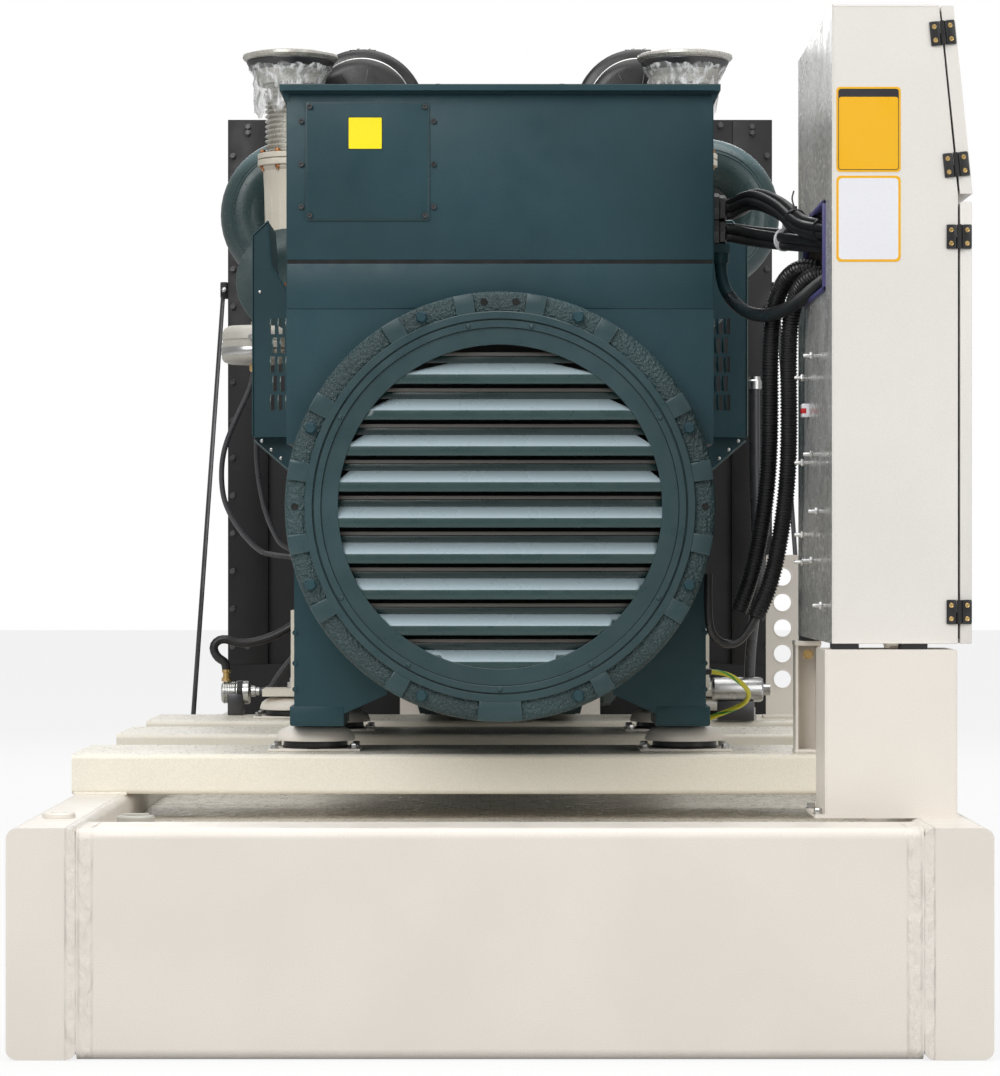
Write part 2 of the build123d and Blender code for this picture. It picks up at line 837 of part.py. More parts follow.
# Exhaust side: a manifold along each bank, its turbocharger and the pipe rising from it
with BuildPart() as exhaust_manifolds:
    for side, pipe_x in ((-1, left_exhaust_x), (1, right_exhaust_x)):
        log_start = (side * manifold_x, first_head_y - manifold_radius, manifold_z)
        log_end = (side * manifold_x, first_head_y + (head_count - 1) * head_pitch + manifold_radius, manifold_z)
        rod(log_start, log_end, manifold_radius, sides=12)
        for number in range(head_count):
            port_y = first_head_y + number * head_pitch
            port_x, port_z = bank_point(side, deck_height + head_height / 2, head_width / 2)
            rod((port_x, port_y, port_z), (side * manifold_x, port_y, manifold_z), port_radius, sides=6)
        turbo_y = (exhaust_y - turbo_length / 2, exhaust_y + turbo_length / 2)
        rod((pipe_x, turbo_y[0], turbo_z), (pipe_x, turbo_y[1], turbo_z), turbo_radius, sides=24)
        rod((pipe_x, exhaust_y, turbo_z), (side * manifold_x, exhaust_y, manifold_z), riser_lower_radius, sides=12)
        compressor_end = (pipe_x, charge_y + compressor_length / 2, turbo_z)
        rod((pipe_x, exhaust_y, turbo_z), compressor_end, compressor_radius, sides=24)
        flare((pipe_x, exhaust_y, turbo_z), riser_lower_radius, riser_upper_radius, exhaust_joint_z - turbo_z)
        rod((pipe_x, exhaust_y, exhaust_joint_z), (pipe_x, exhaust_y, exhaust_joint_z + exhaust_flange_thickness),
            exhaust_flange_radius, sides=bellows_sides)
    for side in (-1, 1):
        for number in range(head_count):
            with BuildSketch(bank_plane(side, first_head_y + number * head_pitch, 0)) as keep_out:
                Rectangle(head_length, head_width)
            extrude(keep_out.sketch, amount=deck_height + head_height + cover_height, mode=Mode.SUBTRACT)
save(exhaust_manifolds, "exhaust_manifolds")


# Flexible exhaust joints with a flange below and a flared outlet above
def bellows(pipe_x):
    lower_z = exhaust_joint_z + exhaust_flange_thickness
    ribs_z = lower_z + exhaust_flange_thickness
    pitch = (outlet_z - ribs_z) / bellows_count
    with BuildPart() as joint:
        rod((pipe_x, exhaust_y, lower_z), (pipe_x, exhaust_y, ribs_z), exhaust_flange_radius, sides=bellows_sides)
        with BuildPart(mode=Mode.PRIVATE) as rib:
            rod((pipe_x, exhaust_y, ribs_z), (pipe_x, exhaust_y, ribs_z + pitch), bellows_radius, sides=bellows_sides)
            chamfer(rib.faces().filter_by(Axis.Z).edges(), length=bellows_bevel)
        add([rib.part.moved(Location((0, 0, number * pitch))) for number in range(bellows_count)])
        flare((pipe_x, exhaust_y, outlet_z), outlet_neck_radius, outlet_radius, outlet_height,
              sides=bellows_sides)
        flare((pipe_x, exhaust_y, outlet_z + outlet_wall), outlet_neck_radius - outlet_wall,
              outlet_radius - outlet_wall, outlet_height - outlet_wall, sides=bellows_sides,
              mode=Mode.SUBTRACT)
    return joint


bellows_left = bellows(left_exhaust_x)
save(bellows_left, "exhaust_bellows_left")
bellows_right = bellows(right_exhaust_x)
save(bellows_right, "exhaust_bellows_right")

# Air cleaners over the engine, each on a post from the plenum
with BuildPart() as air_cleaners:
    for side in (-1, 1):
        end_y = cleaner_front_y + cleaner_length
        rod((side * cleaner_x, cleaner_front_y, cleaner_z), (side * cleaner_x, end_y, cleaner_z),
            cleaner_radius, sides=cleaner_sides)
        rod((side * cleaner_x, cleaner_front_y - cleaner_cap_length, cleaner_z),
            (side * cleaner_x, cleaner_front_y, cleaner_z), cleaner_cap_radius, sides=cleaner_sides)
save(air_cleaners, "air_cleaners")

# Frame that carries the air cleaners on the plenum
with BuildPart() as cleaner_frame:
    saddle_z = cleaner_z - cleaner_radius
    for y in (cleaner_front_y + cleaner_length / 4, cleaner_front_y + 3 * cleaner_length / 4):
        block(-cleaner_x - cleaner_radius / 2, cleaner_x + cleaner_radius / 2,
              y - cleaner_post_width / 2, y + cleaner_post_width / 2, saddle_z - cleaner_post_width, saddle_z)
        block(-cleaner_post_width / 2, cleaner_post_width / 2, y - cleaner_post_width / 2,
              y + cleaner_post_width / 2, valley_z + plenum_height, saddle_z - cleaner_post_width)
save(cleaner_frame, "cleaner_frame")

# Charge air pipes that loop out beside the banks
with BuildPart() as charge_air_pipes:
    for side, pipe_x in ((-1, left_exhaust_x), (1, right_exhaust_x)):
        top_z = charge_low_z + 2 * charge_bend
        reach_x = charge_x + charge_bend
        end_y = cleaner_front_y + cleaner_length
        loop = [(side * (cleaner_x + 0.8 * cleaner_radius), charge_y, top_z), (side * reach_x, charge_y, top_z),
                (side * reach_x, charge_y, charge_low_z), (pipe_x - side * charge_tail, charge_y, charge_low_z)]
        tube(rounded(loop, charge_bend), charge_radius, sides=16)
        rod((side * cleaner_x, cleaner_front_y, cleaner_z), (side * cleaner_x, end_y, cleaner_z),
            cleaner_radius, mode=Mode.SUBTRACT, sides=cleaner_sides)
        rod((pipe_x, exhaust_y, turbo_z), (pipe_x, charge_y + compressor_length / 2, turbo_z),
            compressor_radius, mode=Mode.SUBTRACT, sides=24)
save(charge_air_pipes, "charge_air_pipes")

# Breather can beside the left bank, on a plate from the heads
with BuildPart() as breather_can:
    rod((can_x, can_y, can_z), (can_x, can_y, can_z + can_height), can_radius, sides=20)
    chamfer(breather_can.faces().filter_by(Axis.Z).edges(), length=can_edge)
    plate_low_z = manifold_z + manifold_radius + can_bracket_gap
    plate_top_z = plate_low_z + can_bracket_thickness
    with BuildSketch(facing(can_y + can_bracket_width / 2)) as bracket:
        with BuildLine():
            Polyline(
                (can_x, plate_low_z),
                (bank_side_x(-1, plate_low_z), plate_low_z),
                (bank_side_x(-1, plate_top_z), plate_top_z),
                (can_x, plate_top_z),
                close=True,
            )
        make_face()
    extrude(bracket.sketch, amount=can_bracket_width)
save(breather_can, "breather_can")

# Fan on its shaft at the gear cover
with BuildPart() as fan:
    hub_y = radiator_rear_y - shroud_collar - shroud_plate + 20
    rod((0, gear_cover_front_y, fan_z), (0, hub_y, fan_z), fan_shaft_radius, sides=12)
    rod((0, hub_y - fan_hub_depth, fan_z), (0, hub_y, fan_z), fan_hub_radius, sides=24)
    for number in range(blade_total):
        angle = radians(360 * number / blade_total)
        outwards = Vector(cos(angle), 0, sin(angle))
        root = Vector(0, hub_y - fan_hub_depth / 2, fan_z) + outwards * (fan_hub_radius - 20)
        pitch = radians(fan_blade_pitch)
        around = Vector(-sin(angle), 0, cos(angle)) * cos(pitch) + Vector(0, 1, 0) * sin(pitch)
        with BuildSketch(Plane(origin=root, x_dir=around, z_dir=outwards)) as blade:
            Rectangle(fan_blade_width, fan_blade_thickness)
        extrude(blade.sketch, amount=fan_radius - fan_hub_radius)
save(fan, "fan")

# Fan shroud: a plate in front of the core with a round collar
with BuildPart() as fan_shroud:
    hole_radius = fan_radius + fan_clearance
    with BuildSketch(facing(radiator_rear_y + core_setback)):
        with Locations((0, (core_bottom_z + core_top_z) / 2)):
            Rectangle(2 * post_inner_x, core_top_z - core_bottom_z)
        with Locations((0, fan_z)):
            RegularPolygon(hole_radius, shroud_sides, mode=Mode.SUBTRACT)
    extrude(amount=shroud_plate)
    with BuildSketch(facing(radiator_rear_y + core_setback)) as collar:
        with Locations((0, fan_z)):
            RegularPolygon(hole_radius + shroud_wall, shroud_sides)
            RegularPolygon(hole_radius, shroud_sides, mode=Mode.SUBTRACT)
    extrude(collar.sketch, amount=shroud_collar + core_setback)
save(fan_shroud, "fan_shroud")

# Radiator: side posts, tanks and core
with BuildPart() as radiator_posts:
    for side in (-1, 1):
        block(side * post_inner_x, side * radiator_half_width, radiator_rear_y,
              radiator_rear_y + radiator_depth, base_height, radiator_top_z)
save(radiator_posts, "radiator_posts")

with BuildPart() as radiator_tanks:
    rear_y = radiator_rear_y + radiator_depth
    block(-post_inner_x, post_inner_x, radiator_rear_y, rear_y, base_height, core_bottom_z)
    block(-post_inner_x, post_inner_x, radiator_rear_y, rear_y, core_top_z, radiator_top_z)
save(radiator_tanks, "radiator_tanks")

with BuildPart() as radiator_core:
    block(-post_inner_x, post_inner_x, radiator_rear_y + core_setback,
          radiator_rear_y + radiator_depth - core_setback, core_bottom_z, core_top_z)
save(radiator_core, "radiator_core")

# Stay rods from the radiator posts down to the rails
with BuildPart() as radiator_stays:
    for side in (-1, 1):
        head_y = radiator_rear_y + stay_block
        block(side * radiator_half_width, side * (stay_x + stay_radius), head_y - stay_block / 2,
              head_y + stay_block / 2, stay_head_z - stay_block / 2, stay_head_z + stay_block / 2)
        block(side * (stay_x - stay_block / 2), side * (stay_x + stay_block / 2), stay_foot_y - stay_block / 2,
              stay_foot_y + stay_block / 2, base_height, base_height + stay_block / 2)
        rod((side * stay_x, stay_foot_y, base_height + stay_block / 4), (side * stay_x, head_y, stay_head_z), stay_radius, sides=8)
save(radiator_stays, "radiator_stays")

# Coolant pipes between the engine and the radiator tanks
with BuildPart() as coolant_pipes:
    pipe_y = (block_front_y + gear_cover_front_y) / 2
    gear_top_z = shaft_z + gear_cover_rise
    for side in (-1, 1):
        upper = [(side * water_pipe_x, pipe_y, gear_top_z), (side * water_pipe_x, pipe_y, water_pipe_top_z),
                 (side * water_pipe_x, radiator_rear_y, water_pipe_top_z)]
        tube(rounded(upper, water_pipe_bend), water_pipe_radius, sides=12)
    low_z = base_height + bottom_tank_height / 2
    low_x = gear_cover_half_width - water_pipe_radius
    low_y = gear_cover_front_y + water_pipe_bend
    lower = [(low_x, radiator_rear_y, low_z), (low_x, low_y, low_z), (low_x, low_y, shaft_z),
             (low_x, gear_cover_front_y, shaft_z)]
    tube(rounded(lower, water_pipe_bend - 5), water_pipe_radius, sides=12)
save(coolant_pipes, "coolant_pipes")


def cabinet_front_at(z):
    """the X of the cabinet's front edge at a height, where its upper part leans back"""
    return cabinet_front_x - max(0, z - upper_door_bottom_z) * lean_per_mm


# Cabinet body: bottom, sides and top of folded sheet, with a rail between the two doors
with BuildPart() as cabinet_body:
    cabinet_rear_y = cabinet_y + cabinet_length
    inner_x = cabinet_back_x + cabinet_wall
    with BuildSketch(facing(cabinet_rear_y)):
        with BuildLine():
            Polyline(
                (inner_x, cabinet_bottom_z),
                (cabinet_front_x, cabinet_bottom_z),
                (cabinet_front_x, upper_door_bottom_z),
                (cabinet_front_at(cabinet_top_z), cabinet_top_z),
                (inner_x, cabinet_top_z),
                close=True,
            )
        make_face()
    extrude(amount=cabinet_length)
    with BuildSketch(facing(cabinet_rear_y - cabinet_wall)) as hollow:
        with BuildLine():
            Polyline(
                (cabinet_back_x, cabinet_bottom_z + cabinet_wall),
                (cabinet_front_x - cabinet_flange, cabinet_bottom_z + cabinet_wall),
                (cabinet_front_x - cabinet_flange, upper_door_bottom_z),
                (cabinet_front_at(cabinet_top_z) - cabinet_flange, cabinet_top_z - cabinet_wall),
                (cabinet_back_x, cabinet_top_z - cabinet_wall),
                close=True,
            )
        make_face()
    extrude(hollow.sketch, amount=cabinet_length - 2 * cabinet_wall, mode=Mode.SUBTRACT)
    rail_bottom_z = lower_door_top_z - cabinet_flange
    block(cabinet_front_x - cabinet_flange, cabinet_front_x, cabinet_y + cabinet_flange, cabinet_rear_y - cabinet_flange,
          cabinet_bottom_z + cabinet_flange, rail_bottom_z, mode=Mode.SUBTRACT)
    block(cabinet_front_at(cabinet_top_z) - cabinet_flange, cabinet_front_x, cabinet_y + cabinet_flange,
          cabinet_rear_y - cabinet_flange, upper_door_bottom_z + cabinet_flange,
          cabinet_top_z - cabinet_flange, mode=Mode.SUBTRACT)
save(cabinet_body, "cabinet_body")

# Back wall of the cabinet, with the opening for the power cables
with BuildPart() as cabinet_back:
    block(cabinet_back_x, inner_x, cabinet_y, cabinet_rear_y, cabinet_bottom_z, cabinet_top_z)
    block(cabinet_back_x, inner_x, cable_opening_front_y, cable_opening_rear_y,
          cable_opening_bottom_z, cable_opening_top_z, mode=Mode.SUBTRACT)
save(cabinet_back, "cabinet_back")

# Doors on the outer side of the cabinet
with BuildPart() as lower_door:
    block(door_inner_x, door_outer_x, cabinet_y, cabinet_rear_y, cabinet_bottom_z, lower_door_top_z)
    chamfer(lower_door.faces().sort_by(Axis.X)[-1].edges(), length=door_edge)
save(lower_door, "lower_door")

with BuildPart() as upper_door:
    with BuildSketch(facing(cabinet_rear_y)):
        with BuildLine():
            Polyline(
                (door_inner_x, upper_door_bottom_z),
                (door_outer_x, upper_door_bottom_z),
                (door_outer_x - upper_door_lean, upper_door_top_z),
                (door_inner_x - upper_door_lean, upper_door_top_z),
                close=True,
            )
        make_face()
    extrude(amount=cabinet_length)
save(upper_door, "upper_door")


def hinge_place(z, lean):
    """the plane of a hinge on the cabinet's end face, its Y along the hinge axis"""
    x = hinge_axis_x - max(0, z - upper_door_bottom_z) * lean_per_mm
    tilt = radians(lean)
    return Plane(origin=(x, cabinet_y, z), x_dir=(cos(tilt), 0, sin(tilt)), z_dir=(0, -1, 0))


def barrel(place, ends, radius, mode=Mode.ADD, sides=0):
    """a length of hinge barrel, or of its pin or bore, between two heights on the axis"""
    low = place.from_local_coords(Vector(0, ends[0], hinge_offset))
    high = place.from_local_coords(Vector(0, ends[1], hinge_offset))
    rod(tuple(low), tuple(high), radius, mode=mode, sides=sides)


knuckle_end = hinge_height / 2
lower_tab = (-knuckle_end, -hinge_pin_clearance)
upper_tab = (hinge_pin_clearance, knuckle_end)
upper_places = [hinge_place(z, lean_angle) for z in upper_hinge_z]
lower_places = [hinge_place(z, 0) for z in lower_hinge_z]


def leaf(place, side, tab):
    """a hinge leaf on the end face, to one side of the axis, with a tab that reaches the barrel"""
    with BuildSketch(place) as outline:
        with Locations((side * (hinge_leaf + hinge_leaf_gap) / 2, 0)):
            Rectangle(hinge_leaf - hinge_leaf_gap, hinge_height)
        with Locations((side * hinge_leaf_gap / 2, (tab[0] + tab[1]) / 2)):
            Rectangle(hinge_leaf_gap, tab[1] - tab[0])
    extrude(outline.sketch, amount=hinge_plate)


# Hinge leaves on the cabinet, with the lower knuckle and the pin that stands in it
with BuildPart() as cabinet_hinges:
    for place in upper_places + lower_places:
        leaf(place, -1, lower_tab)
        barrel(place, lower_tab, hinge_knuckle_radius, sides=10)
        barrel(place, (-knuckle_end, knuckle_end), hinge_pin_radius)
save(cabinet_hinges, "cabinet_hinges")


# Hinge leaves on a door, with the upper knuckle round the pin
def door_hinges(places):
    with BuildPart() as leaves:
        for place in places:
            leaf(place, 1, upper_tab)
            barrel(place, upper_tab, hinge_knuckle_radius, sides=10)
            barrel(place, upper_tab, hinge_pin_radius + hinge_pin_clearance, mode=Mode.SUBTRACT)
    return leaves


upper_door_hinges = door_hinges(upper_places)
save(upper_door_hinges, "upper_door_hinges")
lower_door_hinges = door_hinges(lower_places)
save(lower_door_hinges, "lower_door_hinges")

# Stand under the near end of the cabinet, with rubber pads on its top
stand_top_z = cabinet_bottom_z - cabinet_pad_height
with BuildPart() as cabinet_pedestal:
    pedestal_rear_y = pedestal_front_y + pedestal_depth
    margin = pedestal_plate_margin
    block(pedestal_left_x - 5 * margin, pedestal_right_x + margin, pedestal_front_y, pedestal_rear_y,
          base_height, base_height + pedestal_plate_thickness)
    block(pedestal_left_x, pedestal_right_x, pedestal_front_y, pedestal_rear_y,
          base_height + pedestal_plate_thickness, stand_top_z)
save(cabinet_pedestal, "cabinet_pedestal")

# Channels under the far end of the cabinet, open towards the near end
with BuildPart() as cabinet_rear_support:
    for left_x in (support_left_x, pedestal_right_x - support_width):
        start_y = support_rear_y - support_depth
        block(left_x, left_x + support_width, start_y, support_rear_y, beam_top_z, stand_top_z)
        block(left_x + support_wall, left_x + support_width - support_wall, start_y, support_rear_y - support_wall,
              beam_top_z + support_wall, stand_top_z - support_wall, mode=Mode.SUBTRACT)
save(cabinet_rear_support, "cabinet_rear_support")

with BuildPart() as cabinet_pads:
    for left_x in (pedestal_left_x + 20, pedestal_right_x - 2 * cabinet_pad_width):
        block(left_x, left_x + cabinet_pad_width, cabinet_y, cabinet_y + cabinet_pad_width, stand_top_z, cabinet_bottom_z)
    for left_x in (support_left_x, pedestal_right_x - support_width):
        block(max(left_x, cabinet_back_x), left_x + support_width, support_rear_y - support_depth,
              support_rear_y, stand_top_z, cabinet_bottom_z)
save(cabinet_pads, "cabinet_pads")

# Power cables from the gland plate over to the cabinet's opening, in two bundles
gland_face_x = box_half_width + gland_plate_thickness
with BuildPart() as power_cables:
    tube([(gland_face_x, power_cable_y, 1799), (530, power_cable_y, 1799), (578, power_cable_y - 50, 1817),
          (630, power_cable_y - 140, 1786), (668, power_cable_y - 250, 1737), (703, power_cable_y - 390, 1714),
          (735, power_cable_y - 490, 1704)], power_cable_radius)
    tube([(gland_face_x, power_cable_y, 1745), (530, power_cable_y, 1745), (580, power_cable_y - 35, 1733),
          (640, power_cable_y - 120, 1718), (684, power_cable_y - 215, 1706), (706, power_cable_y - 290, 1698),
          (740, power_cable_y - 350, 1690)], power_cable_radius)
save(power_cables, "power_cables")

# Fittings on the alternator: the conduit's elbow and a clip for the lower hose
with BuildPart() as alternator_fittings:
    block(gland_face_x, sag_start_x + sag_radius + fitting_wall, power_cable_y - sag_radius - fitting_wall,
          power_cable_y + sag_radius + fitting_wall, sag_start_z, sag_start_z + fitting_height)
save(alternator_fittings, "alternator_fittings")

# Conduit that hangs between the elbow and the cabinet's opening
sag_points = [
    (sag_start_x, power_cable_y, sag_start_z), (sag_start_x, power_cable_y, 1651), (518, power_cable_y - 8, 1604),
    (547, power_cable_y - 28, 1568), (593, power_cable_y - 65, 1547), (644, power_cable_y - 132, 1558),
    (682, power_cable_y - 216, 1586), (706, power_cable_y - 322, 1607), (730, power_cable_y - 430, 1619),
]
with BuildPart() as sagging_conduit:
    cord(sag_points, sag_radius)
save(sagging_conduit, "sagging_conduit")
print("sagging_conduit radii", [round(r) for r in corner_radii(sag_points)])

# Ribbed conduits from the cabinet's opening down beside its back wall
with BuildPart() as ribbed_conduits:
    tube([(715, conduit_y - 95, 1652), (675, conduit_y - 85, 1662), (630, conduit_y - 12, 1612), (615, conduit_y + 10, 1500),
          (616, conduit_y + 10, 1268), (606, conduit_y + 10, 1130), (583, conduit_y + 14, 996),
          (562, conduit_y + 16, 925), (545, conduit_y + 18, 880)], conduit_radius)
    tube([(725, conduit_y - 145, 1636), (692, conduit_y - 125, 1634), (664, conduit_y - 68, 1590), (652, conduit_y - 38, 1500),
          (656, conduit_y - 30, 1268), (648, conduit_y - 30, 1130), (627, conduit_y - 26, 996),
          (604, conduit_y - 24, 915), (580, conduit_y - 22, 866)], conduit_radius)
save(ribbed_conduits, "ribbed_conduits")

# Hoses on the right: one from the ribbed conduit up to the casing, one down behind it
with BuildPart() as hoses_right:
    tube([(580, conduit_y - 22, 866), (558, conduit_y - 20, 822), (520, conduit_y - 10, 800), (480, conduit_y - 25, 822),
          (470, conduit_y - 30, 880), (472, conduit_y - 30, 965)], hose_radius + 2)
    tube([(698, rear_beam_y - 260, 1480), (698, rear_beam_y - 260, 1060), (720, rear_beam_y - 250, 980),
          (700, rear_beam_y - 200, 830), (690, rear_beam_y - 160, 700), (690, rear_beam_y - 160, beam_top_z)], 2 * hose_radius)
save(hoses_right, "hoses_right")

# Earth cable that loops out from the alternator's web and back behind its foot
earth_points = [
    (frame_radius, -1690, 738), (518, -1690, 738), (562, -1662, 712), (584, -1622, 686), (578, -1576, 660),
    (540, -1532, 640), (494, -1490, 620), (444, -1462, 592), (398, -1450, beam_top_z + 10),
]
with BuildPart() as earth_cable:
    cord(earth_points, earth_radius)
save(earth_cable, "earth_cable")
print("earth_cable radii", [round(r) for r in corner_radii(earth_points)])

# Hoses on the left: from the breather can and the engine's side, and down to the hand pump
with BuildPart() as hoses_left:
    tube([(can_x, can_y, can_z), (can_x, can_y, 1500), (-742, can_y + 5, 1400), (-782, can_y + 5, 1300),
          (-785, can_y + 5, 1200), (-765, can_y + 5, 1130), (-705, can_y + 5, 1045), (-640, can_y + 5, 1000),
          (-skirt_half_width, can_y + 5, 1000)], hose_radius, sides=6)
    tube([(-690, can_y + 100, manifold_z), (-694, can_y + 100, 1330), (-688, can_y + 100, 1230), (-662, can_y + 100, 1110),
          (-600, can_y + 100, 1000), (-skirt_half_width, can_y + 100, 1000)], hose_radius, sides=6)
save(hoses_left, "hoses_left")

# Hand pump for draining, on a saddle on the rear crossbeam
with BuildPart() as drain_pump:
    pump_y = rear_beam_y + pump_from_beam
    rod((pump_x, pump_y, pump_z), (pump_x + pump_length, pump_y, pump_z), pump_radius, sides=16)
    block(pump_x + pump_length / 4, pump_x + 3 * pump_length / 4, pump_y - pump_radius, pump_y + pump_radius,
          beam_top_z, pump_z)
save(drain_pump, "drain_pump")

# Perforated strap that stands on the rear crossbeam
with BuildPart() as perforated_strap:
    with BuildSketch(facing(strap_y)):
        with Locations((strap_x, (beam_top_z + strap_top_z) / 2)):
            Rectangle(strap_width, strap_top_z - beam_top_z)
        for number in range(strap_hole_count):
            with Locations((strap_x, strap_top_z - strap_first_hole - number * strap_hole_pitch)):
                RegularPolygon(strap_hole_radius, 16, mode=Mode.SUBTRACT)
    extrude(amount=strap_thickness)
save(perforated_strap, "perforated_strap")
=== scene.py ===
"""Looks of an open diesel generating set on a steel skid.

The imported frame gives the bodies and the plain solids. This script dresses them with paint, cast
iron, steel, rubber and film, and makes the pieces that are finer than the solids. Sizes are in
millimetres in the part's own frame, and become metres when a piece is finished.
"""
from __future__ import annotations

import logging
import random
from dataclasses import dataclass, field, replace
from enum import Enum
from math import atan2, copysign, cos, degrees, dist, pi, radians, sin, sqrt
from typing import Sequence

import bmesh
import bpy
from mathutils import Euler, Matrix, Vector, noise

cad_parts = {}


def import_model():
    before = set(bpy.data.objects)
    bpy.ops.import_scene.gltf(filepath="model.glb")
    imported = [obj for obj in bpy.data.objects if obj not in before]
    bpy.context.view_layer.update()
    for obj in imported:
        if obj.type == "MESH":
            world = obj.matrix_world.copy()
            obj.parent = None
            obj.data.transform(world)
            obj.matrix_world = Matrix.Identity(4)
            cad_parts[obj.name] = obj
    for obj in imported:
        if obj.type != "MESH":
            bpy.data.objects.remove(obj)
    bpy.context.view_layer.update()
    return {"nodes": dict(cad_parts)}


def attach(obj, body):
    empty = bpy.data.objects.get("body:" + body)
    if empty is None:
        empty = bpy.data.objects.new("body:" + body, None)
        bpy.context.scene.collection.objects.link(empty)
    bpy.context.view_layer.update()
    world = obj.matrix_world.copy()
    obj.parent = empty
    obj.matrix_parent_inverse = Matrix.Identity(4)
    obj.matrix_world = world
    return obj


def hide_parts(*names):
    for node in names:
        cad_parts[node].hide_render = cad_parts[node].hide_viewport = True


MM = 0.001  # metres in a millimetre
SHAFT = 1115.0  # height of the shaft over the floor
DOOR_FACE = 955.4  # where the doors meet the cabinet's side
SPIN = 6.3  # the most that a fitting is turned about its own axis, in radians
LOG = logging.getLogger("genset")
Triple = tuple[float, float, float]
Outline = Sequence[tuple[float, float]]
Socket = bpy.types.NodeSocket


class Facing(Enum):
    """The way a small fitting looks: the turn that takes +Z to that side."""

    FRONT = (pi / 2, 0.0, 0.0)
    REAR = (-pi / 2, 0.0, 0.0)
    LEFT = (0.0, -pi / 2, 0.0)
    RIGHT = (0.0, pi / 2, 0.0)
    UP = (0.0, 0.0, 0.0)
    DOWN = (pi, 0.0, 0.0)


class Draft:
    """A material's node tree while it is drawn."""

    def __init__(self, name: str) -> None:
        """Starts a material with a shader and its output.

        Args:
            name: The material's name.
        """
        self.material = bpy.data.materials.new(name)
        self.material.use_nodes = True
        self.tree = self.material.node_tree
        self.tree.nodes.clear()
        self.shader = self.tree.nodes.new("ShaderNodeBsdfPrincipled")
        output = self.tree.nodes.new("ShaderNodeOutputMaterial")
        self.tree.links.new(self.shader.outputs[0], output.inputs[0])
        self.place = self.tree.nodes.new("ShaderNodeTexCoord").outputs["Object"]

    def link(self, source: Socket, target: Socket) -> None:
        """Joins one socket to another."""
        self.tree.links.new(source, target)

    def noise(self, scale: float, detail: float = 3.0, stretch: Triple = (1, 1, 1)) -> Socket:
        """Draws a noise pattern on object coordinates.

        Args:
            scale: Features to the metre.
            detail: Octaves of the noise.
            stretch: How much closer the pattern lies along each axis.

        Returns:
            The pattern's value socket.
        """
        mapping = self.tree.nodes.new("ShaderNodeMapping")
        mapping.inputs["Scale"].default_value = stretch
        self.link(self.place, mapping.inputs["Vector"])
        texture = self.tree.nodes.new("ShaderNodeTexNoise")
        texture.inputs["Scale"].default_value = scale
        texture.inputs["Detail"].default_value = detail
        self.link(mapping.outputs[0], texture.inputs["Vector"])
        return texture.outputs[0]

    def spread(self, value: Socket, low: float, high: float, start: float = 0.0,
               end: float = 1.0) -> Socket:
        """Maps a value from one span to another, clamped.

        Args:
            value: The socket that is mapped.
            low: Value that becomes start.
            high: Value that becomes end.
            start: Result at low.
            end: Result at high.

        Returns:
            The mapped value's socket.
        """
        mapped = self.tree.nodes.new("ShaderNodeMapRange")
        mapped.interpolation_type = "SMOOTHSTEP"
        for name, number in (("From Min", low), ("From Max", high), ("To Min", start), ("To Max", end)):
            mapped.inputs[name].default_value = number
        self.link(value, mapped.inputs["Value"])
        return mapped.outputs[0]

    def math(self, kind: str, one: Socket, two: Socket | float) -> Socket:
        """Combines two values.

        Args:
            kind: The operation's type name.
            one: The first value.
            two: The second value, a socket or a number.

        Returns:
            The result's socket.
        """
        combined = self.tree.nodes.new("ShaderNodeMath")
        combined.operation = kind
        self.link(one, combined.inputs[0])
        if isinstance(two, float):
            combined.inputs[1].default_value = two
        else:
            self.link(two, combined.inputs[1])
        return combined.outputs[0]

    def blend(self, share: Socket, first: Socket | Triple,
              second: Socket | Triple) -> Socket:
        """Mixes two colours.

        Args:
            share: How much of the second colour shows.
            first: The first colour, a socket or a colour.
            second: The second colour, a socket or a colour.

        Returns:
            The mixed colour's socket.
        """
        mixed = self.tree.nodes.new("ShaderNodeMix")
        mixed.data_type = "RGBA"
        self.link(share, mixed.inputs[0])
        for socket, colour in ((mixed.inputs[6], first), (mixed.inputs[7], second)):
            if isinstance(colour, tuple):
                socket.default_value = (*colour, 1.0)
            else:
                self.link(colour, socket)
        return mixed.outputs[2]

    def bump(self, height: Socket, depth: float,
             under: Socket | None = None) -> Socket:
        """Raises a bump from a height.

        Args:
            height: The height pattern, from 0 to 1.
            depth: How far it rises, in millimetres.
            under: A bump that lies under this one.

        Returns:
            The bumped normal's socket.
        """
        bumped = self.tree.nodes.new("ShaderNodeBump")
        bumped.inputs["Distance"].default_value = depth * MM
        self.link(height, bumped.inputs["Height"])
        if under is not None:
            self.link(under, bumped.inputs["Normal"])
        return bumped.outputs[0]

    def upwards(self, low: float, high: float) -> Socket:
        """Gives 0 to 1 as a face turns from upright to level.

        Args:
            low: Upward part of the normal at which it starts.
            high: Upward part of the normal at which it is full.

        Returns:
            The share's socket.
        """
        geometry = self.tree.nodes.new("ShaderNodeNewGeometry")
        parts = self.tree.nodes.new("ShaderNodeSeparateXYZ")
        self.link(geometry.outputs["Normal"], parts.inputs[0])
        return self.spread(parts.outputs["Z"], low, high)

    def band(self, middle: float, half: float) -> Socket:
        """Gives 1 in an upright band on each side of the middle plane, and 0 beside it.

        Args:
            middle: The band's distance from the middle plane, in metres.
            half: Half its width, in metres.

        Returns:
            The share's socket.
        """
        parts = self.tree.nodes.new("ShaderNodeSeparateXYZ")
        self.link(self.place, parts.inputs[0])
        away = self.math("ABSOLUTE", parts.outputs["X"], 0.0)
        return self.spread(self.math("ABSOLUTE", self.math("SUBTRACT", away, middle), 0.0), half, half * 0.5)

